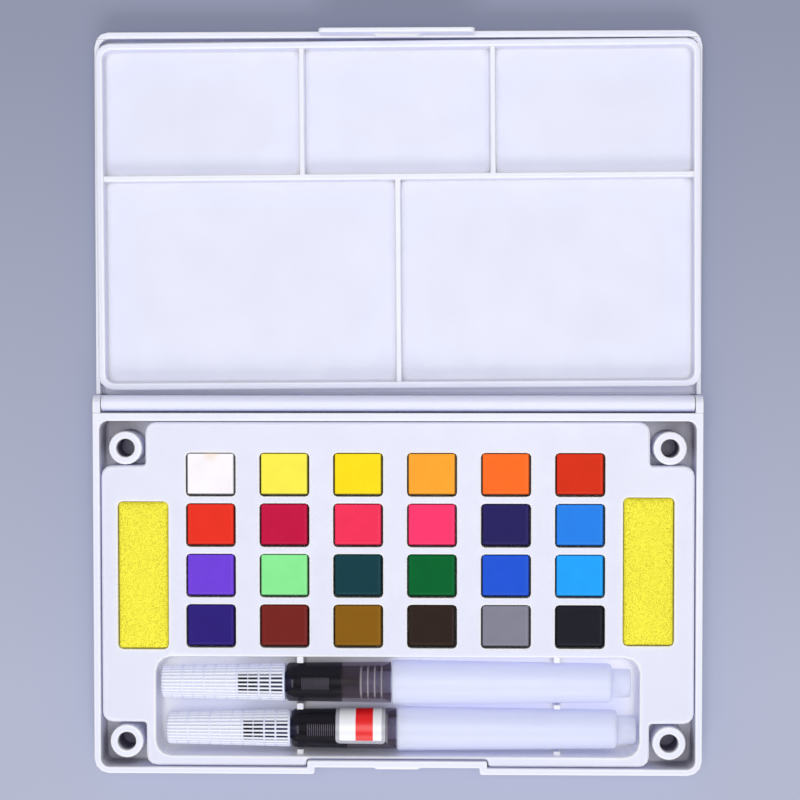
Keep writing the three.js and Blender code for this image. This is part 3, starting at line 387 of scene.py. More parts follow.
class Look:
    """One material, with its nodes"""

    def __init__(self, name, **settings):
        self.material = bpy.data.materials.new(name)
        self.material.use_nodes = True
        self.tree = self.material.node_tree
        self.shader = self.tree.nodes["Principled BSDF"]
        self.set(**settings)

    def node(self, kind, inputs=None, **settings):
        made = self.tree.nodes.new(kind)
        for key, value in settings.items():
            setattr(made, key, value)
        for key, value in (inputs or {}).items():
            self.put(made.inputs[key], value)
        return made

    def put(self, socket, value):
        """Links a socket to another node's socket, or gives it a value"""
        if isinstance(value, bpy.types.NodeSocket):
            self.tree.links.new(value, socket)
        else:
            socket.default_value = value

    def set(self, **inputs):
        for key, value in inputs.items():
            self.put(self.shader.inputs[key.replace("_", " ")], value)

    def place(self):
        return self.node("ShaderNodeTexCoord").outputs["Object"]

    def attribute(self, name):
        return self.node("ShaderNodeAttribute", attribute_name=name).outputs["Fac"]

    def noise(self, size, detail=PLAIN_DETAIL, stretch=None):
        """Noise whose patches have about the given size"""
        place = self.place()
        if stretch:
            place = self.node("ShaderNodeMapping", {"Vector": place, "Scale": stretch}).outputs["Vector"]
        inputs = {"Vector": place, "Scale": 1 / size, "Detail": detail}
        return self.node("ShaderNodeTexNoise", inputs).outputs["Fac"]

    def cells(self, size):
        return self.node("ShaderNodeTexVoronoi", {"Vector": self.place(), "Scale": 1 / size}).outputs

    def ramp(self, value, low, high, to_low=0, to_high=1):
        inputs = {"Value": value, "From Min": low, "From Max": high, "To Min": to_low, "To Max": to_high}
        return self.node("ShaderNodeMapRange", inputs).outputs["Result"]

    def drift(self, size, low, high, detail=PLAIN_DETAIL, stretch=None):
        """A value that drifts between two others from patch to patch"""
        return self.ramp(self.noise(size, detail, stretch), *NOISE_SHARES, low, high)

    def math(self, operation, first, second):
        return self.node("ShaderNodeMath", {0: first, 1: second}, operation=operation).outputs[0]

    def blend(self, share, first, second):
        made = self.node("ShaderNodeMix", data_type="RGBA")
        self.put(made.inputs["Factor"], share)
        self.put(made.inputs["A"], first)
        self.put(made.inputs["B"], second)
        return made.outputs["Result"]

    def clouded(self, size, tone, share, detail=PLAIN_DETAIL, stretch=None):
        """A tone that darkens to a share of itself from patch to patch"""
        return self.blend(self.drift(size, 0, 1, detail, stretch), colour(shade(tone, share)), colour(tone))

    def bump(self, height, strength, distance, normal=None):
        inputs = {"Height": height, "Strength": strength, "Distance": distance}
        if normal:
            inputs["Normal"] = normal
        return self.node("ShaderNodeBump", inputs).outputs["Normal"]

    def translucent(self, reach, share):
        """Lets light spread inside the material, about as far as the given reach"""
        self.set(Subsurface_Weight=share, Subsurface_Scale=reach, Subsurface_Radius=(1, 1, 1))

    def lit_through(self, share, lit_share):
        """Raises the share for light from the lamps: a milky wall lets more of it through than it shows"""
        lamp_light = self.node("ShaderNodeLightPath").outputs["Is Shadow Ray"]
        return self.math("MAXIMUM", share, self.math("MULTIPLY", lamp_light, lit_share))

    def see_through(self, share, tint=WHITE):
        """Lets light straight through where the share is high"""
        output = self.tree.nodes["Material Output"]
        clear = self.node("ShaderNodeBsdfTransparent", {"Color": colour(tint)})
        both = self.node("ShaderNodeMixShader", {1: self.shader.outputs[0], 2: clear.outputs[0]})
        self.put(both.inputs[0], share)
        self.tree.links.new(both.outputs[0], output.inputs["Surface"])


def dust_on(look, surface):
    """A few specks of dust, far apart"""
    cells = look.cells(DUST_SPACING)
    speck = look.ramp(cells["Distance"], *DUST_SIZE_SHARES)
    pick = look.node("ShaderNodeSeparateColor", {0: cells["Color"]}).outputs[0]
    chosen = look.math("GREATER_THAN", pick, DUSTY_SHARE)
    return look.blend(look.math("MULTIPLY", speck, chosen), surface, colour(DUST))


def white_plastic(name, painted_light_shares):
    """Satin moulding with a little dust, painted highlights on its lips, painted light in light shade,
    painted shade in hollows
    """
    look = Look(name, IOR=PLASTIC_BENDING)
    look.translucent(PLASTIC_LIGHT_REACH, PLASTIC_SPREAD_SHARE)
    soft = look.node("ShaderNodeBevel", {"Radius": EDGE_WIDTH}, samples=EDGE_SAMPLES).outputs["Normal"]
    # The lips are whitened where the wide bevel's normal turns away: a painted highlight
    lip = look.node("ShaderNodeBevel", {"Radius": LIP_WIDTH}, samples=LIP_SAMPLES).outputs["Normal"]
    flat = look.node("ShaderNodeNewGeometry").outputs["True Normal"]
    turn = look.node("ShaderNodeVectorMath", {0: lip, 1: flat}, operation="DOT_PRODUCT").outputs["Value"]
    body = look.clouded(PLASTIC_CLOUD, WHITE_PLASTIC, PLASTIC_CLOUD_SHARE)
    lip_highlighted = look.blend(look.ramp(turn, *LIP_TURN_SHARES), body, colour(WHITE))
    reach = {"Distance": DEPTH_REACH}
    hollow = look.node("ShaderNodeAmbientOcclusion", reach, samples=DEPTH_SAMPLES, only_local=True)
    openness = hollow.outputs["AO"]
    # Painted light: a paler tone where the place is partly shut in
    lightened_in_shade = look.blend(look.ramp(openness, *painted_light_shares), colour(LIGHT_PAINTED_IN_SHADE), lip_highlighted)
    # Painted shade: a greyish mauve in hollows
    hollow_shaded = look.blend(look.ramp(openness, *HOLLOW_SHARES), colour(HOLLOW_PAINTED_SHADE), lightened_in_shade)
    # Painted shade: dark blue in deep holes
    deep_shaded = look.blend(look.ramp(openness, *DEPTH_SHARES), colour(DEEP_PAINTED_SHADE), hollow_shaded)
    grain = look.bump(look.noise(FINE_GRAIN, STREAK_DETAIL), SATIN_BUMP_SHARE, FINE_HEIGHT, soft)
    wave = look.noise(PLASTIC_WAVE, WAVE_DETAIL)
    look.set(
        Base_Color=dust_on(look, deep_shaded),
        Roughness=look.drift(PLASTIC_GLOSS_PATCH, *PLASTIC_ROUGH_SHARES),
        Normal=look.bump(wave, SATIN_BUMP_SHARE, PLASTIC_WAVE_HEIGHT, grain),
    )
    return look.material


def paint(name, tone):
    """Dry pressed paint: faintly mottled, with a paler strip by its edge that is a painted highlight, and a
    dark crust by the walls that is partly paint residue and partly painted shade
    """
    look = Look(f"{name}_paint", IOR=PAINT_BENDING, Specular_IOR_Level=PAINT_SHINE_SHARE)
    body = look.clouded(PAINT_CLOUD, tone, PAINT_CLOUD_SHARE, PAINT_DETAIL)
    # Painted highlight: a paler strip by the edge, strong at the right and the front
    strip = look.math("MULTIPLY", look.attribute("rim"), look.drift(PAINT_GRAIN, *STRIP_DRIFT_SHARES))
    strip_highlighted = look.blend(strip, body, colour(paler(tone, STRIP_PALER_SHARE)))
    # Dark crust by the walls: partly paint residue, partly painted shade of the gap
    crusted_and_shaded = look.blend(look.attribute("side"), strip_highlighted, colour(shade(tone, CRUST_AND_SHADE_TONE_SHARE)))
    fine = look.bump(look.noise(FINE_GRAIN, PAINT_DETAIL), PAINT_BUMP_SHARE, FINE_HEIGHT)
    look.set(
        Base_Color=look.blend(look.attribute("stain"), crusted_and_shaded, colour(STAIN)),
        Roughness=look.drift(PAINT_GRAIN, *PAINT_ROUGH_SHARES),
        Normal=look.bump(look.noise(PAINT_GRAIN), SATIN_BUMP_SHARE, PAINT_GRAIN_HEIGHT, fine),
    )
    return look.material


def sponge_foam():
    """Fine open-cell foam with small pores in painted shade, darker towards the cut edges"""
    look = Look("sponge", Roughness=FOAM_ROUGH_SHARE, IOR=FOAM_BENDING)
    pore = look.ramp(look.cells(FOAM_PORE)["Distance"], *FOAM_PORE_SHARES)
    patch = look.drift(FOAM_PATCH, *FOAM_PATCH_SHARES)
    by_edge = look.ramp(look.attribute("rim"), 0, 1, FOAM_MIDDLE_SHARE, 1)
    # The pores' depth sets their painted shade and their bump
    depth = look.math("MULTIPLY", look.math("MULTIPLY", pore, patch), by_edge)
    body = look.clouded(FOAM_CLOUD, SPONGE, FOAM_CLOUD_SHARE)
    look.set(
        Base_Color=look.blend(depth, body, colour(PORE_SHADE)),
        Normal=look.bump(look.math("SUBTRACT", 1, depth), FOAM_BUMP_SHARE, FOAM_DEPTH),
    )
    return look.material


def cap_plastic():
    """Milky moulding with a painted highlight in white along its ribs; clear in its grooves, most of all
    over the tuft
    """
    look = Look("clear_plastic", IOR=RESIN_BENDING)
    # White along the ribs is a painted highlight
    look.set(
        Base_Color=look.blend(look.attribute("rib_highlight"), colour(CAP_MILK), colour(WHITE)),
        Roughness=look.drift(PAINT_GRAIN, *CAP_ROUGH_SHARES),
        Normal=look.bump(look.noise(PAINT_GRAIN, STREAK_DETAIL), CAP_BUMP_SHARE, FINE_HEIGHT),
    )
    clear = look.ramp(look.attribute("clear"), 0, 1, CAP_HAZE_SHARE, 1)
    look.see_through(look.lit_through(clear, CAP_LIT_SHARE))
    return look.material


def smoked_plastic():
    """Smoked clear moulding, faintly streaked along the brush.
    Over the core it is darker, and denser beside the fins: a thick clear wall shows its core wide."""
    look = Look("smoked_plastic", IOR=RESIN_BENDING, Specular_IOR_Level=SMOKE_SHINE_SHARE)
    open_smoke = look.clouded(FIBRE_STREAK, SMOKE, SMOKE_CLOUD_SHARE, STREAK_DETAIL, ALONG_X_SHARES)
    over_core = look.attribute("over_core")
    smoke = look.blend(over_core, open_smoke, colour(SMOKE_OVER_CORE))
    thread = look.attribute("thread")
    look.set(
        Base_Color=look.blend(thread, smoke, colour(THREAD)),
        Roughness=look.drift(PAINT_GRAIN, *SMOKE_ROUGH_SHARES),
    )
    clear = look.ramp(look.attribute("flank"), 0, 1, *SMOKE_CLEAR_SHARES)
    past_thread = look.ramp(thread, 0, 1, 1, THREAD_CLEAR_SHARE)
    look.see_through(look.math("MULTIPLY", clear, past_thread), SMOKE_TINT)
    return look.material


def milky_plastic():
    """Milky squeezable moulding, clearer at its neck and its stepped tail"""
    look = Look("milky_plastic", IOR=RESIN_BENDING)
    look.translucent(MILKY_LIGHT_REACH, MILKY_SPREAD_SHARE)
    look.set(
        Base_Color=look.clouded(MILKY_CLOUD, MILKY, MILKY_CLOUD_SHARE, STREAK_DETAIL, ALONG_X_SHARES),
        Roughness=look.drift(MILKY_CLOUD, *MILKY_ROUGH_SHARES),
        Normal=look.bump(look.noise(FINE_GRAIN, STREAK_DETAIL), SATIN_BUMP_SHARE, FINE_HEIGHT),
    )
    clear = look.ramp(look.attribute("clear"), 0, 1, *MILKY_CLEAR_SHARES)
    look.see_through(look.lit_through(clear, MILKY_LIT_SHARE))
    return look.material


def feed_plastic():
    """Near-black moulding with pale fins, and a painted highlight at its front collar"""
    look = Look("feed_plastic", IOR=RESIN_BENDING, Roughness=CORE_ROUGH_SHARE)
    core = look.clouded(MOULDED_GRAIN, CORE, CORE_CLOUD_SHARE)
    look.set(
        Base_Color=look.blend(look.attribute("fin_and_highlight"), core, colour(PALE_FIN_AND_HIGHLIGHT)),
        Normal=look.bump(look.noise(MOULDED_GRAIN), MOULDED_BUMP_SHARE, FINE_HEIGHT),
    )
    return look.material


def nib_plastic():
    """Dark blue moulding with a faint grain"""
    look = Look("nib_plastic", IOR=RESIN_BENDING, Roughness=NIB_ROUGH_SHARE)
    look.set(
        Base_Color=look.clouded(MOULDED_GRAIN, NIB, NIB_CLOUD_SHARE),
        Normal=look.bump(look.noise(MOULDED_GRAIN), MOULDED_BUMP_SHARE, FINE_HEIGHT),
    )
    return look.material


def bristle_fibre():
    """Synthetic bristle, streaked from strand to strand"""
    look = Look("bristle", IOR=RESIN_BENDING, Roughness=BRISTLE_ROUGH_SHARE)
    streaked = look.clouded(FIBRE_STREAK, BRISTLE, BRISTLE_CLOUD_SHARE, STREAK_DETAIL, ALONG_X_SHARES)
    look.set(Base_Color=streaked)
    return look.material


def label_plate():
    """Bare printed plate: a silver border round a pale panel with one plain block of colour"""
    look = Look("label", IOR=RESIN_BENDING, Roughness=LABEL_ROUGH_SHARE)
    soft = LABEL_EDGE_SOFTNESS
    panel = look.ramp(look.attribute("inset"), LABEL_BORDER_WIDTH - soft, LABEL_BORDER_WIDTH + soft)
    start_share, end_share = LABEL_BLOCK_SHARES
    fade = LABEL_SOFT_SHARE
    after = look.ramp(look.attribute("along"), start_share - fade, start_share + fade)
    before = look.ramp(look.attribute("along"), end_share + fade, end_share - fade)
    block = look.math("MULTIPLY", look.math("MULTIPLY", after, before), panel)
    silver = look.clouded(MOULDED_GRAIN, LABEL_SILVER, SILVER_CLOUD_SHARE)
    bare = look.blend(panel, silver, look.clouded(PAINT_CLOUD, LABEL_PANEL, PANEL_CLOUD_SHARE))
    look.set(
        Base_Color=look.blend(block, bare, look.clouded(PAINT_CLOUD, LABEL_BLOCK, BLOCK_CLOUD_SHARE)),
        Normal=look.bump(panel, LABEL_BUMP_SHARE, LABEL_THICKNESS),
    )
    return look.material


def smooth_rounds():
    """Nodes that weld a mesh and shade its rounds smooth, keeping its sharp edges"""
    group = bpy.data.node_groups.new("smooth_rounds", "GeometryNodeTree")
    group.interface.new_socket("Geometry", in_out="INPUT", socket_type="NodeSocketGeometry")
    group.interface.new_socket("Geometry", in_out="OUTPUT", socket_type="NodeSocketGeometry")
    nodes = group.nodes
    entry = nodes.new("NodeGroupInput")
    leave = nodes.new("NodeGroupOutput")
    weld = nodes.new("GeometryNodeMergeByDistance")
    weld.inputs["Distance"].default_value = WELD_DISTANCE
    bare = nodes.new("GeometryNodeRemoveAttribute")
    bare.inputs["Name"].default_value = "custom_normal"
    rounds = nodes.new("GeometryNodeSetShadeSmooth")
    angle = nodes.new("GeometryNodeInputMeshEdgeAngle")
    gentle = nodes.new("FunctionNodeCompare")
    gentle.operation = "LESS_THAN"
    gentle.inputs["B"].default_value = SMOOTH_ANGLE
    edges = nodes.new("GeometryNodeSetShadeSmooth")
    edges.domain = "EDGE"
    link = group.links.new
    link(entry.outputs[0], weld.inputs["Geometry"])
    link(weld.outputs["Geometry"], bare.inputs["Geometry"])
    link(bare.outputs["Geometry"], rounds.inputs["Geometry"])
    link(rounds.outputs["Geometry"], edges.inputs["Geometry"])
    link(angle.outputs["Unsigned Angle"], gentle.inputs["A"])
    link(gentle.outputs["Result"], edges.inputs["Shade Smooth"])
    link(edges.outputs["Geometry"], leave.inputs[0])
    return group


def dress(node, material, group):
    """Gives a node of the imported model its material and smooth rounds"""
    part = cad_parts[node]
    part.data.materials.clear()
    part.data.materials.append(material)
    part.modifiers.new("smooth", "NODES").node_group = group
    normals = part.modifiers.new("normals", "WEIGHTED_NORMAL")
    normals.keep_sharp = True


def mesh_piece(name, points, faces, material, attributes=None):
    """A new object from points and faces, with one value per point for each attribute"""
    mesh = bpy.data.meshes.new(name)
    mesh.from_pydata(points, [], faces)
    mesh.shade_smooth()
    for key, values in (attributes or {}).items():
        mesh.attributes.new(key, "FLOAT", "POINT").data.foreach_set("value", values)
    mesh.materials.append(material)
    mesh.update()
    piece = bpy.data.objects.new(name, mesh)
    bpy.context.scene.collection.objects.link(piece)
    return piece


def stand_for(piece, node, body):
    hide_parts(node)
    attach(piece, body)


def ring_faces(rings, count):
    """Faces between closed rings of points that follow each other"""
    faces = []
    for ring in range(rings - 1):
        for step in range(count):
            here = ring * count + step
            beside = ring * count + (step + 1) % count
            faces.append((here, beside, beside + count, here + count))
    return faces


def skin_faces(rings, count):
    """Faces between closed rings of points, with a flat end on the first ring and on the last"""
    last = (rings - 1) * count
    faces = ring_faces(rings, count)
    faces.append(tuple(range(count - 1, -1, -1)))
    faces.append(tuple(range(last, last + count)))
    return faces


def rounded_rectangle(half, corner, per_corner, per_side):
    """Points round a rectangle with round corners, centred on zero"""
    points = []
    for turn in range(4):
        angle = turn * math.pi / 2
        direction = Vector((math.cos(angle), math.sin(angle)))
        across = Vector((-direction.y, direction.x))
        reach = half.x if turn % 2 == 0 else half.y
        side = (half.y if turn % 2 == 0 else half.x) - corner
        for step in range(per_side):
            points.append(direction * reach + across * side * mix(-1, 1, step / per_side))
        centre = direction * (reach - corner) + across * side
        for step in range(per_corner):
            bend = step / per_corner * math.pi / 2
            points.append(centre + direction * corner * math.cos(bend) + across * corner * math.sin(bend))
    return points


def depth_inside(point, half, corner):
    """How far a point lies inside a rectangle with round corners"""
    x = abs(point.x) - half.x + corner
    y = abs(point.y) - half.y + corner
    outside = math.hypot(max(x, 0), max(y, 0))
    return max(corner - outside - min(max(x, y), 0), 0)


class BlockShape:
    """A block with round corners: its walls rise to the brim, and its top follows a height function"""

    def __init__(self, low, high, seed):
        self.low = low
        self.top = high.z
        self.half = Vector(((high.x - low.x) / 2, (high.y - low.y) / 2))
        self.centre = (low + high) / 2
        self.seed = Vector((0, 0, seed))

    def ripple(self, place, size):
        """Smooth noise from 0 to 1"""
        return (1 + noise.noise(place / size + self.seed)) / 2

    def rings(self):
        """Every ring of points, with the values of its attributes"""
        outline = rounded_rectangle(self.half, self.corner, self.per_corner, self.per_side)
        points, rim, side = [], [], []
        for share in self.wall_shares:
            spread = 1 - self.wall_inset(share) / max(self.half)
            level = mix(self.low.z, self.brim, share)
            for point in outline:
                spot = point * spread
                points.append((self.centre.x + spot.x, self.centre.y + spot.y, level))
                rim.append(self.rim(point, 0))
                side.append(1)
        for share in self.top_shares:
            for point in outline:
                spot = point * share
                depth = depth_inside(spot, self.half, self.corner)
                place = Vector((self.centre.x + spot.x, self.centre.y + spot.y, 0))
                points.append((place.x, place.y, self.height(place, depth)))
                rim.append(self.rim(spot, depth))
                side.append(self.side(spot))
        return points, rim, side, len(outline)

    def piece(self, name, material):
        points, rim, side, count = self.rings()
        faces = skin_faces(len(points) // count, count)
        return mesh_piece(name, points, faces, material, {"rim": rim, "side": side})


class CakeShape(BlockShape):
    """A cake of paint: soft shoulders and a nearly flat top"""

    corner = CAKE_CORNER
    per_corner = 7
    per_side = 12
    wall_shares = [0, 0.5, 1]
    top_shares = [1, 0.994, 0.986, 0.976, 0.964, 0.952, 0.938, 0.92, 0.88, 0.82, 0.7, 0.52, 0.32, 0.12]

    def __init__(self, box, seed):
        low = box[0] + Vector((CAKE_SIDE_SHRINKAGE, CAKE_FRONT_SHRINKAGE, 0))
        high = box[1] - Vector((CAKE_SIDE_SHRINKAGE, 0, 0))
        super().__init__(low, high, seed)
        self.brim = self.top - CAKE_SHOULDER

    def wall_inset(self, share):
        return 0

    def height(self, place, depth):
        shoulder = min(depth / CAKE_SHOULDER, 1)
        fall = CAKE_SHOULDER * (1 - math.sqrt(1 - (1 - shoulder) ** 2))
        dish = CAKE_DISH * smooth(clamp((depth - CAKE_SHOULDER) / CAKE_RIM))
        return self.top - fall - dish - CAKE_WAVE * self.ripple(place, CAKE_WAVE_SIZE) * shoulder

    def rim(self, spot, depth):
        """Painted highlight: a pale strip just inside the edge, strong at the right and at the front"""
        strip = clamp(1 - abs(depth - STRIP_FROM_EDGE) / STRIP_WIDTH)
        by_right = self.half.x - spot.x < depth + STRIP_WIDTH
        by_front = self.half.y + spot.y < depth + STRIP_WIDTH
        return strip if by_right or by_front else strip * FAINT_STRIP_SHARE

    def side(self, spot):
        """Dark crust by the walls, wide at the right and at the front: partly paint residue, partly painted
        shade
        """
        across = min((self.half.x - spot.x) / CRUST_AND_SHADE_RIGHT, (self.half.x + spot.x) / CRUST_AND_SHADE_LEFT)
        along = min((self.half.y + spot.y) / CRUST_AND_SHADE_FRONT, (self.half.y - spot.y) / CRUST_AND_SHADE_REAR)
        return clamp((1 - min(across, along)) / CRUST_AND_SHADE_SOFT_SHARE)


class SpongeShape(BlockShape):
    """A cut block of foam: crowned, with soft edges and sides that draw in"""

    corner = SPONGE_CORNER
    per_corner = 10
    per_side = 60
    wall_shares = [0, 0.15, 0.3, 0.5, 0.7, 0.85, 1]
    top_shares = [1 - (step / SPONGE_RINGS) ** SPONGE_RING_POWER for step in range(SPONGE_RINGS)]
    top_shares.append(SPONGE_LAST_SHARE)

    def __init__(self, box, seed):
        super().__init__(*box, seed)
        self.brim = self.top - SPONGE_CROWN - SPONGE_SHOULDER

    def wall_inset(self, share):
        return SPONGE_DRAW_IN * math.sin(math.pi * share)

    def height(self, place, depth):
        shoulder = min(depth / SPONGE_SHOULDER, 1)
        rise = SPONGE_SHOULDER * math.sqrt(1 - (1 - shoulder) ** 2)
        crown = SPONGE_CROWN * (1 - (1 - min(depth / SPONGE_CROWN_REACH, 1)) ** 2)
        return self.brim + rise + crown - SPONGE_GRAIN * self.ripple(place, SPONGE_GRAIN_SIZE) * shoulder

    def rim(self, spot, depth):
        return clamp(1 - depth / SPONGE_EDGE_ZONE)

    def side(self, spot):
        return 0


def make_cakes():
    for index, (name, tone) in enumerate(PAINTS.items()):
        node = f"paint_{name}"
        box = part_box(node)
        cake = CakeShape(box, index).piece(f"cake_{name}", paint(name, tone))
        if name == "white":
            add_stain(cake, box)
        stand_for(cake, node, "tray")


def add_stain(cake, box):
    """A faint old stain at the middle of the cake's rear edge"""
    low, high = box
    spot = Vector(((low.x + high.x) / 2, high.y, high.z))
    values = []
    for vertex in cake.data.vertices:
        away = (vertex.co - spot).length
        values.append(STAIN_SHARE * clamp(1 - away / STAIN_SIZE))
    cake.data.attributes.new("stain", "FLOAT", "POINT").data.foreach_set("value", values)


def make_sponges():
    material = sponge_foam()
    for seed, side in enumerate(["left", "right"], start=len(PAINTS)):
        node = f"sponge_{side}"
        piece = SpongeShape(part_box(node), seed).piece(f"foam_{side}", material)
        stand_for(piece, node, f"{side}_sponge")


class Axis:
    """Middle line of a brush through the box of one of its pieces, with that box's half sizes"""

    def __init__(self, brush, part):
        low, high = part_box(f"{brush}_{part}")
        self.start = low.x
        self.end = high.x
        self.y = (low.y + high.y) / 2
        self.z = (low.z + high.z) / 2
        self.half_width = (high.y - low.y) / 2
        self.half_height = (high.z - low.z) / 2

    def oval(self, x, half_width, half_height, count=OVAL_POINTS):
        points = []
        for step in range(count):
            angle = step / count * 2 * math.pi
            y = self.y + half_width * math.cos(angle)
            z = self.z + half_height * math.sin(angle)
            points.append((x, y, z))
        return points


class Taper:
    """Half sizes of a piece that tapers from its start to its end, as shares of the box's half sizes"""

    def __init__(self, axis, start, end, at_start=(1, 1), at_end=(1, 1)):
        self.axis = axis
        self.start = start
        self.end = end
        self.at_start = at_start
        self.at_end = at_end

    def half_sizes(self, x, inset=0):
        share = clamp((x - self.start) / (self.end - self.start))
        width = self.axis.half_width * mix(self.at_start[0], self.at_end[0], share)
        height = self.axis.half_height * mix(self.at_start[1], self.at_end[1], share)
        return width - inset, height - inset

    def ring(self, x, inset=0, count=OVAL_POINTS):
        return self.axis.oval(x, *self.half_sizes(x, inset), count)


def tube(name, rings, material, attributes=None, closed=False):
    """A skin over rings of points; a closed one joins its last ring to its first"""
    count = len(rings[0])
    points = [point for ring in rings for point in ring]
    if closed:
        last = len(points) - count
        faces = ring_faces(len(rings), count)
        for step in range(count):
            after = (step + 1) % count
            faces.append((last + step, last + after, after, step))
    else:
        faces = skin_faces(len(rings), count)
    return mesh_piece(name, points, faces, material, attributes)


def rounded_stations(start, end, start_round, end_round):
    """Places along a piece with the inset that rounds its ends"""
    opening, closing = [], []
    for step in range(ROUND_STEPS + 1):
        angle = step / ROUND_STEPS * math.pi / 2
        from_cosine = 1 - math.cos(angle)
        from_sine = 1 - math.sin(angle)
        opening.append((start + start_round * from_cosine, start_round * from_sine))
        closing.append((end - end_round * from_sine, end_round * from_cosine))
    return opening + closing


def ring_at(along, length):
    """Is 1 where a cross ring goes round the cap, else 0"""
    if along < CAP_FIRST_RING or along > length - CAP_RING_PITCH:
        return 0
    from_ring = (along - CAP_FIRST_RING) % CAP_RING_PITCH
    away = min(from_ring, CAP_RING_PITCH - from_ring)
    return 1 if away < CAP_RING_WIDTH / 2 else 0


def cap_point(axis, x, half_sizes, step, ribbed, past_tip):
    """A point of the cap's ribbed skin, with its share of the painted rib highlight and how clear it is"""
    half_width, half_height = half_sizes
    angle = step / (CAP_RIBS * POINTS_PER_RIB) * 2 * math.pi
    groove = (1 - math.cos(step / POINTS_PER_RIB * 2 * math.pi)) / 2
    dip = CAP_RIB_DEPTH * groove * ribbed
    y = axis.y + (half_width - dip) * math.cos(angle)
    z = axis.z + (half_height - dip) * math.sin(angle)
    over_tuft = past_tip * soft_step(CAP_CLEAR_HALF_WIDTH - abs(y - axis.y), CAP_CLEARING)
    # A painted highlight along the crest of each rib
    rib_highlight = clamp(1 - groove / CAP_RIB_SHARE) * ribbed
    slit = clamp((groove - CAP_RIB_SHARE) / CAP_RIB_SHARE) * ribbed
    return (x, y, z), rib_highlight, slit * mix(CAP_FAR_CLEAR_SHARE, 1, over_tuft)


def make_cap(brush, material):
    """Ribbed cap, whose skin runs from its closed end out to the mouth and back along its bore"""
    axis = Axis(brush, "cap")
    taper = Taper(axis, axis.start, axis.end, at_start=(CAP_TIP_WIDTH_SHARE, CAP_TIP_HEIGHT_SHARE))
    length = axis.end - axis.start
    tuft_tip = Axis(brush, "tuft").start
    count = CAP_RIBS * POINTS_PER_RIB
    rings, rib_highlight, clear = [], [], []
    steps = round(length / CAP_STEP)
    for index in range(steps + 1):
        along = length * index / steps
        x = axis.start + along
        edge = clamp(1 - along / CAP_END_ROUND)
        half_sizes = taper.half_sizes(x, CAP_END_ROUND * (1 - math.sqrt(1 - edge ** 2)))
        ribbed = 0 if length - along < CAP_COLLAR else 1 - ring_at(along, length)
        past_tip = soft_step(x - tuft_tip, CAP_CLEARING)
        ring = []
        for step in range(count):
            point, on_rib_highlight, clearness = cap_point(axis, x, half_sizes, step, ribbed, past_tip)
            ring.append(point)
            rib_highlight.append(on_rib_highlight)
            clear.append(clearness)
        rings.append(ring)
    inner_end = axis.start + CAP_WALL
    bore = [(axis.end, CAP_WALL), (inner_end + CAP_END_ROUND, CAP_WALL), (inner_end, 2 * CAP_WALL)]
    for x, wall in bore:
        rings.append(taper.ring(x, wall, count))
        rib_highlight.extend([0] * count)
        clear.extend([1] * count)
    cap = tube(f"{brush}_ribbed_cap", rings, material, {"rib_highlight": rib_highlight, "clear": clear})
    stand_for(cap, f"{brush}_cap", brush)


def grip_taper(brush):
    """Outer sections of the grip, from the mouth of the cap to the reservoir"""
    axis = Axis(brush, "grip")
    front = Axis(brush, "cap").end + PARTING_GAP
    return Taper(axis, front, axis.end, at_start=(GRIP_FRONT_WIDTH_SHARE, GRIP_FRONT_HEIGHT_SHARE))


def make_grip(brush, material):
    """Smoked sleeve with round shoulders and thread turns inside its rear end"""
    taper = grip_taper(brush)
    core_end = taper.start + FEED_CORE_FROM_FRONT + FEED_CORE_LENGTH
    rings, thread, over_core, flank = [], [], [], []

    def add(x, inset, pale=0):
        ring = taper.ring(x, inset)
        covered = 1 if x < core_end else 0
        rings.append(ring)
        thread.extend([pale] * OVAL_POINTS)
        over_core.extend([covered] * OVAL_POINTS)
        for point in ring:
            past_fins = abs(point[1] - taper.axis.y) - FEED_FIN_HALF_WIDTH
            flank.append(covered * clamp(past_fins / GRIP_WALL))

    shoulders = rounded_stations(taper.start, taper.end, GRIP_SHOULDER, PARTING_GAP)
    for x, inset in sorted(shoulders + [(core_end - PARTING_GAP, 0), (core_end, 0)]):
        add(x, inset)
    for turn in range(THREAD_TURNS):
        middle = taper.end - THREAD_FROM_END - turn * THREAD_PITCH
        add(middle + THREAD_HALF_WIDTH, GRIP_WALL)
        add(middle + THREAD_HALF_WIDTH / 2, GRIP_WALL + THREAD_HEIGHT, 1)
        add(middle - THREAD_HALF_WIDTH / 2, GRIP_WALL + THREAD_HEIGHT, 1)
        add(middle - THREAD_HALF_WIDTH, GRIP_WALL)
    add(core_end, GRIP_WALL)
    add(core_end - PARTING_GAP, GRIP_WALL)
    add(taper.start + 2 * GRIP_SHOULDER, GRIP_WALL)
    add(taper.start, 2 * GRIP_WALL)
    attributes = {"thread": thread, "over_core": over_core, "flank": flank}
    sleeve = tube(f"{brush}_sleeve", rings, material, attributes, closed=True)
    stand_for(sleeve, f"{brush}_grip", brush)


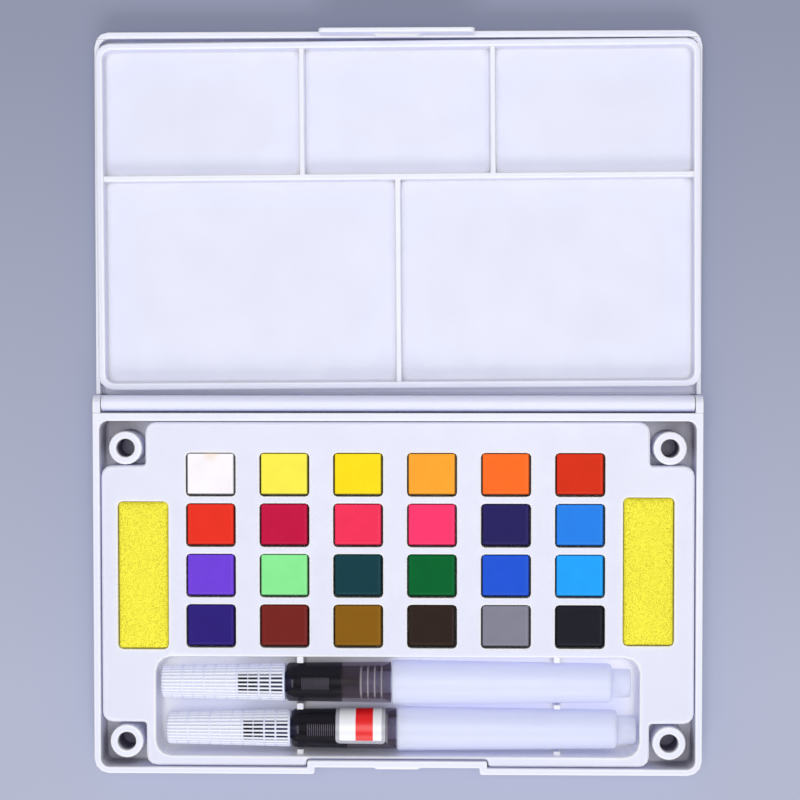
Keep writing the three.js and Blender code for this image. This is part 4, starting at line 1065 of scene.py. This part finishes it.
def make_feed(brush, material):
    """Dark core inside the grip with a comb of fins above and below, and a stem to the reservoir"""
    taper = grip_taper(brush)
    axis = Axis(brush, "feed")
    start = taper.start + FEED_CORE_FROM_FRONT
    end = start + FEED_CORE_LENGTH
    first_fin = start + FEED_FIN_FROM_FRONT
    play = GRIP_WALL + PARTING_GAP
    rings, fin_and_highlight = [], []

    def add(x, inset, rise=0, reach=0):
        """One ring of the core, whose middle stands up by the rise and is pale as far as the reach; where
        it doesn't rise, the pale middle is a painted highlight
        """
        ring = []
        for _, y, z in taper.ring(x, inset):
            raised = abs(y - taper.axis.y) < reach
            lift = math.copysign(rise, z - taper.axis.z) if raised else 0
            ring.append((x, y, z + lift))
            fin_and_highlight.append(1 if raised else 0)
        rings.append(ring)

    # At the front collar the middle is pale without standing up: a painted highlight
    add(start, play + GRIP_WALL, reach=FEED_COLLAR_HALF_WIDTH)
    add(start + FEED_COLLAR_LENGTH, play + GRIP_WALL, reach=FEED_COLLAR_HALF_WIDTH)
    add(start + 2 * FEED_COLLAR_LENGTH, play + FEED_FIN_HEIGHT)
    for index in range(FEED_FINS):
        for place_share, raised in FEED_FIN_SHARES:
            x = first_fin + (index + place_share) * FEED_FIN_PITCH
            if raised:
                add(x, play + FEED_FIN_HEIGHT, FEED_FIN_HEIGHT, FEED_FIN_HALF_WIDTH)
            else:
                add(x, play + FEED_FIN_HEIGHT)
    add(end, play + FEED_FIN_HEIGHT)
    add(end + PARTING_GAP, play + GRIP_WALL)
    for x in [end + PARTING_GAP, axis.end]:
        rings.append(axis.oval(x, FEED_STEM_RADIUS, FEED_STEM_RADIUS))
        fin_and_highlight.extend([0] * OVAL_POINTS)
    core = tube(f"{brush}_finned_core", rings, material, {"fin_and_highlight": fin_and_highlight})
    stand_for(core, f"{brush}_feed", brush)


def make_reservoir(brush, material):
    """Squeezable barrel with round shoulders, a stepped tail and a neck that enters the grip"""
    axis = Axis(brush, "reservoir")
    start = Axis(brush, "grip").end + PARTING_GAP
    shoulder = axis.end - TAIL_LENGTH
    taper = Taper(axis, start, shoulder, at_end=(BARREL_REAR_WIDTH_SHARE, BARREL_REAR_HEIGHT_SHARE))
    rings, clear = [], []

    def add(ring, share):
        rings.append(ring)
        clear.extend([share] * OVAL_POINTS)

    for x in [start - NECK_LENGTH, start]:
        add(axis.oval(x, NECK_RADIUS, NECK_RADIUS), 1)
    for x, inset in rounded_stations(start, shoulder, BARREL_ROUND / 2, BARREL_ROUND):
        add(taper.ring(x, inset), 0)
    tail_width = axis.half_width * TAIL_WIDTH_SHARE
    tail_height = axis.half_height * TAIL_HEIGHT_SHARE
    for x, inset in rounded_stations(shoulder, axis.end, 0, TAIL_ROUND):
        add(axis.oval(x, tail_width - inset, tail_height - inset), 1)
    barrel = tube(f"{brush}_barrel", rings, material, {"clear": clear})
    stand_for(barrel, f"{brush}_reservoir", brush)


def make_tuft(brush, material):
    """Flat tuft of fine strands, set in a close spiral that fills an oval"""
    axis = Axis(brush, "tuft")
    golden = math.pi * (3 - math.sqrt(5))
    points, faces = [], []
    for index in range(TUFT_STRANDS):
        out = math.sqrt((index + 1 / 2) / TUFT_STRANDS)
        angle = index * golden
        y = out * TUFT_HALF_WIDTH * math.cos(angle)
        z = out * TUFT_HALF_HEIGHT * math.sin(angle)
        uneven = 1 - TUFT_UNEVEN_SHARE * (1 + math.sin(angle * index)) / 2
        length = (axis.end - axis.start) * uneven
        first = len(points)
        for share, thickness in STRAND_TAPER_SHARES:
            spread = mix(1, TUFT_TIP_SHARE, share)
            for side in range(STRAND_SIDES):
                turn = side / STRAND_SIDES * 2 * math.pi + angle
                across = STRAND_RADIUS * thickness
                points.append((
                    axis.end - length * share,
                    axis.y + y * spread + across * math.cos(turn),
                    axis.z + z * spread + across * math.sin(turn),
                ))
        strand = ring_faces(len(STRAND_TAPER_SHARES), STRAND_SIDES)
        faces.extend(tuple(first + corner for corner in face) for face in strand)
    tuft = mesh_piece(f"{brush}_strands", points, faces, material)
    stand_for(tuft, f"{brush}_tuft", brush)


def make_label():
    """Plate bent round the upper side of the front brush's grip"""
    taper = grip_taper("front_brush")
    end = taper.end - LABEL_FROM_GRIP_END
    width, height = taper.half_sizes(end - LABEL_LENGTH / 2)
    arc = (LABEL_END_ANGLE - LABEL_START_ANGLE) * (width + height) / 2
    half = Vector((LABEL_LENGTH / 2, arc / 2))
    outline = rounded_rectangle(half, LABEL_CORNER, LABEL_POINTS_PER_CORNER, LABEL_POINTS_PER_SIDE)
    points, inset, along = [], [], []
    for step in range(LABEL_RINGS):
        for spot in outline:
            flat = spot * (1 - step / LABEL_RINGS)
            share = flat.x / LABEL_LENGTH + 1 / 2
            angle = mix(LABEL_START_ANGLE, LABEL_END_ANGLE, flat.y / arc + 1 / 2)
            x = end - LABEL_LENGTH * (1 - share)
            half_width, half_height = taper.half_sizes(x, -LABEL_THICKNESS)
            y = taper.axis.y + half_width * math.cos(angle)
            z = taper.axis.z + half_height * math.sin(angle)
            points.append((x, y, z))
            inset.append(depth_inside(flat, half, LABEL_CORNER))
            along.append(share)
    faces = ring_faces(LABEL_RINGS, len(outline))
    last = len(points) - len(outline)
    faces.append(tuple(range(last, last + len(outline))))
    plate = mesh_piece("front_brush_label", points, faces, label_plate(), {"inset": inset, "along": along})
    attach(plate, "front_brush")


def make_brushes(group):
    cap, smoke, milk = cap_plastic(), smoked_plastic(), milky_plastic()
    core, nib, bristle = feed_plastic(), nib_plastic(), bristle_fibre()
    for brush in ["rear_brush", "front_brush"]:
        make_cap(brush, cap)
        make_grip(brush, smoke)
        make_feed(brush, core)
        make_reservoir(brush, milk)
        make_tuft(brush, bristle)
        dress(f"{brush}_nib", nib, group)
    make_label()


def make_floor():
    """Plain pale floor, with painted shade that darkens it towards the rear of the box"""
    reach = FLOOR_REACH
    corners = [(-reach, -reach, 0), (reach, -reach, 0), (reach, reach, 0), (-reach, reach, 0)]
    look = Look("floor", Roughness=FLOOR_ROUGH_SHARE)
    away = look.node("ShaderNodeSeparateXYZ", {0: look.place()}).outputs["Y"]
    near = look.clouded(FLOOR_CLOUD, FLOOR_NEAR, FLOOR_CLOUD_SHARE, STREAK_DETAIL)
    # The floor darkens towards the rear: painted shade
    look.set(Base_Color=look.blend(look.ramp(away, *FLOOR_FADE), near, colour(FLOOR_FAR_SHADE)))
    mesh_piece("floor", corners, [(0, 1, 2, 3)], look.material)


def softbox(name, place, size, power):
    """Rectangular lamp, aimed at the frame's origin"""
    lamp = bpy.data.lights.new(name, "AREA")
    lamp.shape = "RECTANGLE"
    lamp.size, lamp.size_y = size
    lamp.energy = power
    holder = bpy.data.objects.new(name, lamp)
    holder.location = place
    holder.rotation_euler = (-Vector(place)).to_track_quat("-Z", "Y").to_euler()
    bpy.context.scene.collection.objects.link(holder)


def make_lights():
    world = bpy.data.worlds.new("studio")
    world.use_nodes = True
    world.node_tree.nodes["Background"].inputs["Color"].default_value = colour(WHITE)
    world.node_tree.nodes["Background"].inputs["Strength"].default_value = WORLD_LEVEL
    bpy.context.scene.world = world
    softbox("front", FRONT_LAMP_PLACE, FRONT_LAMP_SIZE, FRONT_LAMP_POWER)
    softbox("overhead", OVERHEAD_LAMP_PLACE, OVERHEAD_LAMP_SIZE, OVERHEAD_LAMP_POWER)


def make_camera():
    camera = bpy.data.cameras.new("camera")
    camera.sensor_width = SENSOR_WIDTH
    camera.lens = LENS
    holder = bpy.data.objects.new("camera", camera)
    holder.location = CAMERA_PLACE
    holder.rotation_euler = CAMERA_TURN
    bpy.context.scene.collection.objects.link(holder)
    bpy.context.scene.camera = holder


def main():
    rounds = smooth_rounds()
    plastic = white_plastic("white_plastic", PAINTED_LIGHT_SHARES)
    for node in ["base_case", "lid", "mixing_palette"]:
        dress(node, plastic, rounds)
    # The tray's copy of the moulding has painted light in more of its shaded places
    dress("paint_tray", white_plastic("tray_plastic", TRAY_PAINTED_LIGHT_SHARES), rounds)
    make_cakes()
    make_sponges()
    make_brushes(rounds)
    make_floor()
    make_lights()
    make_camera()
    bpy.context.scene.view_settings.view_transform = "Standard"


main()
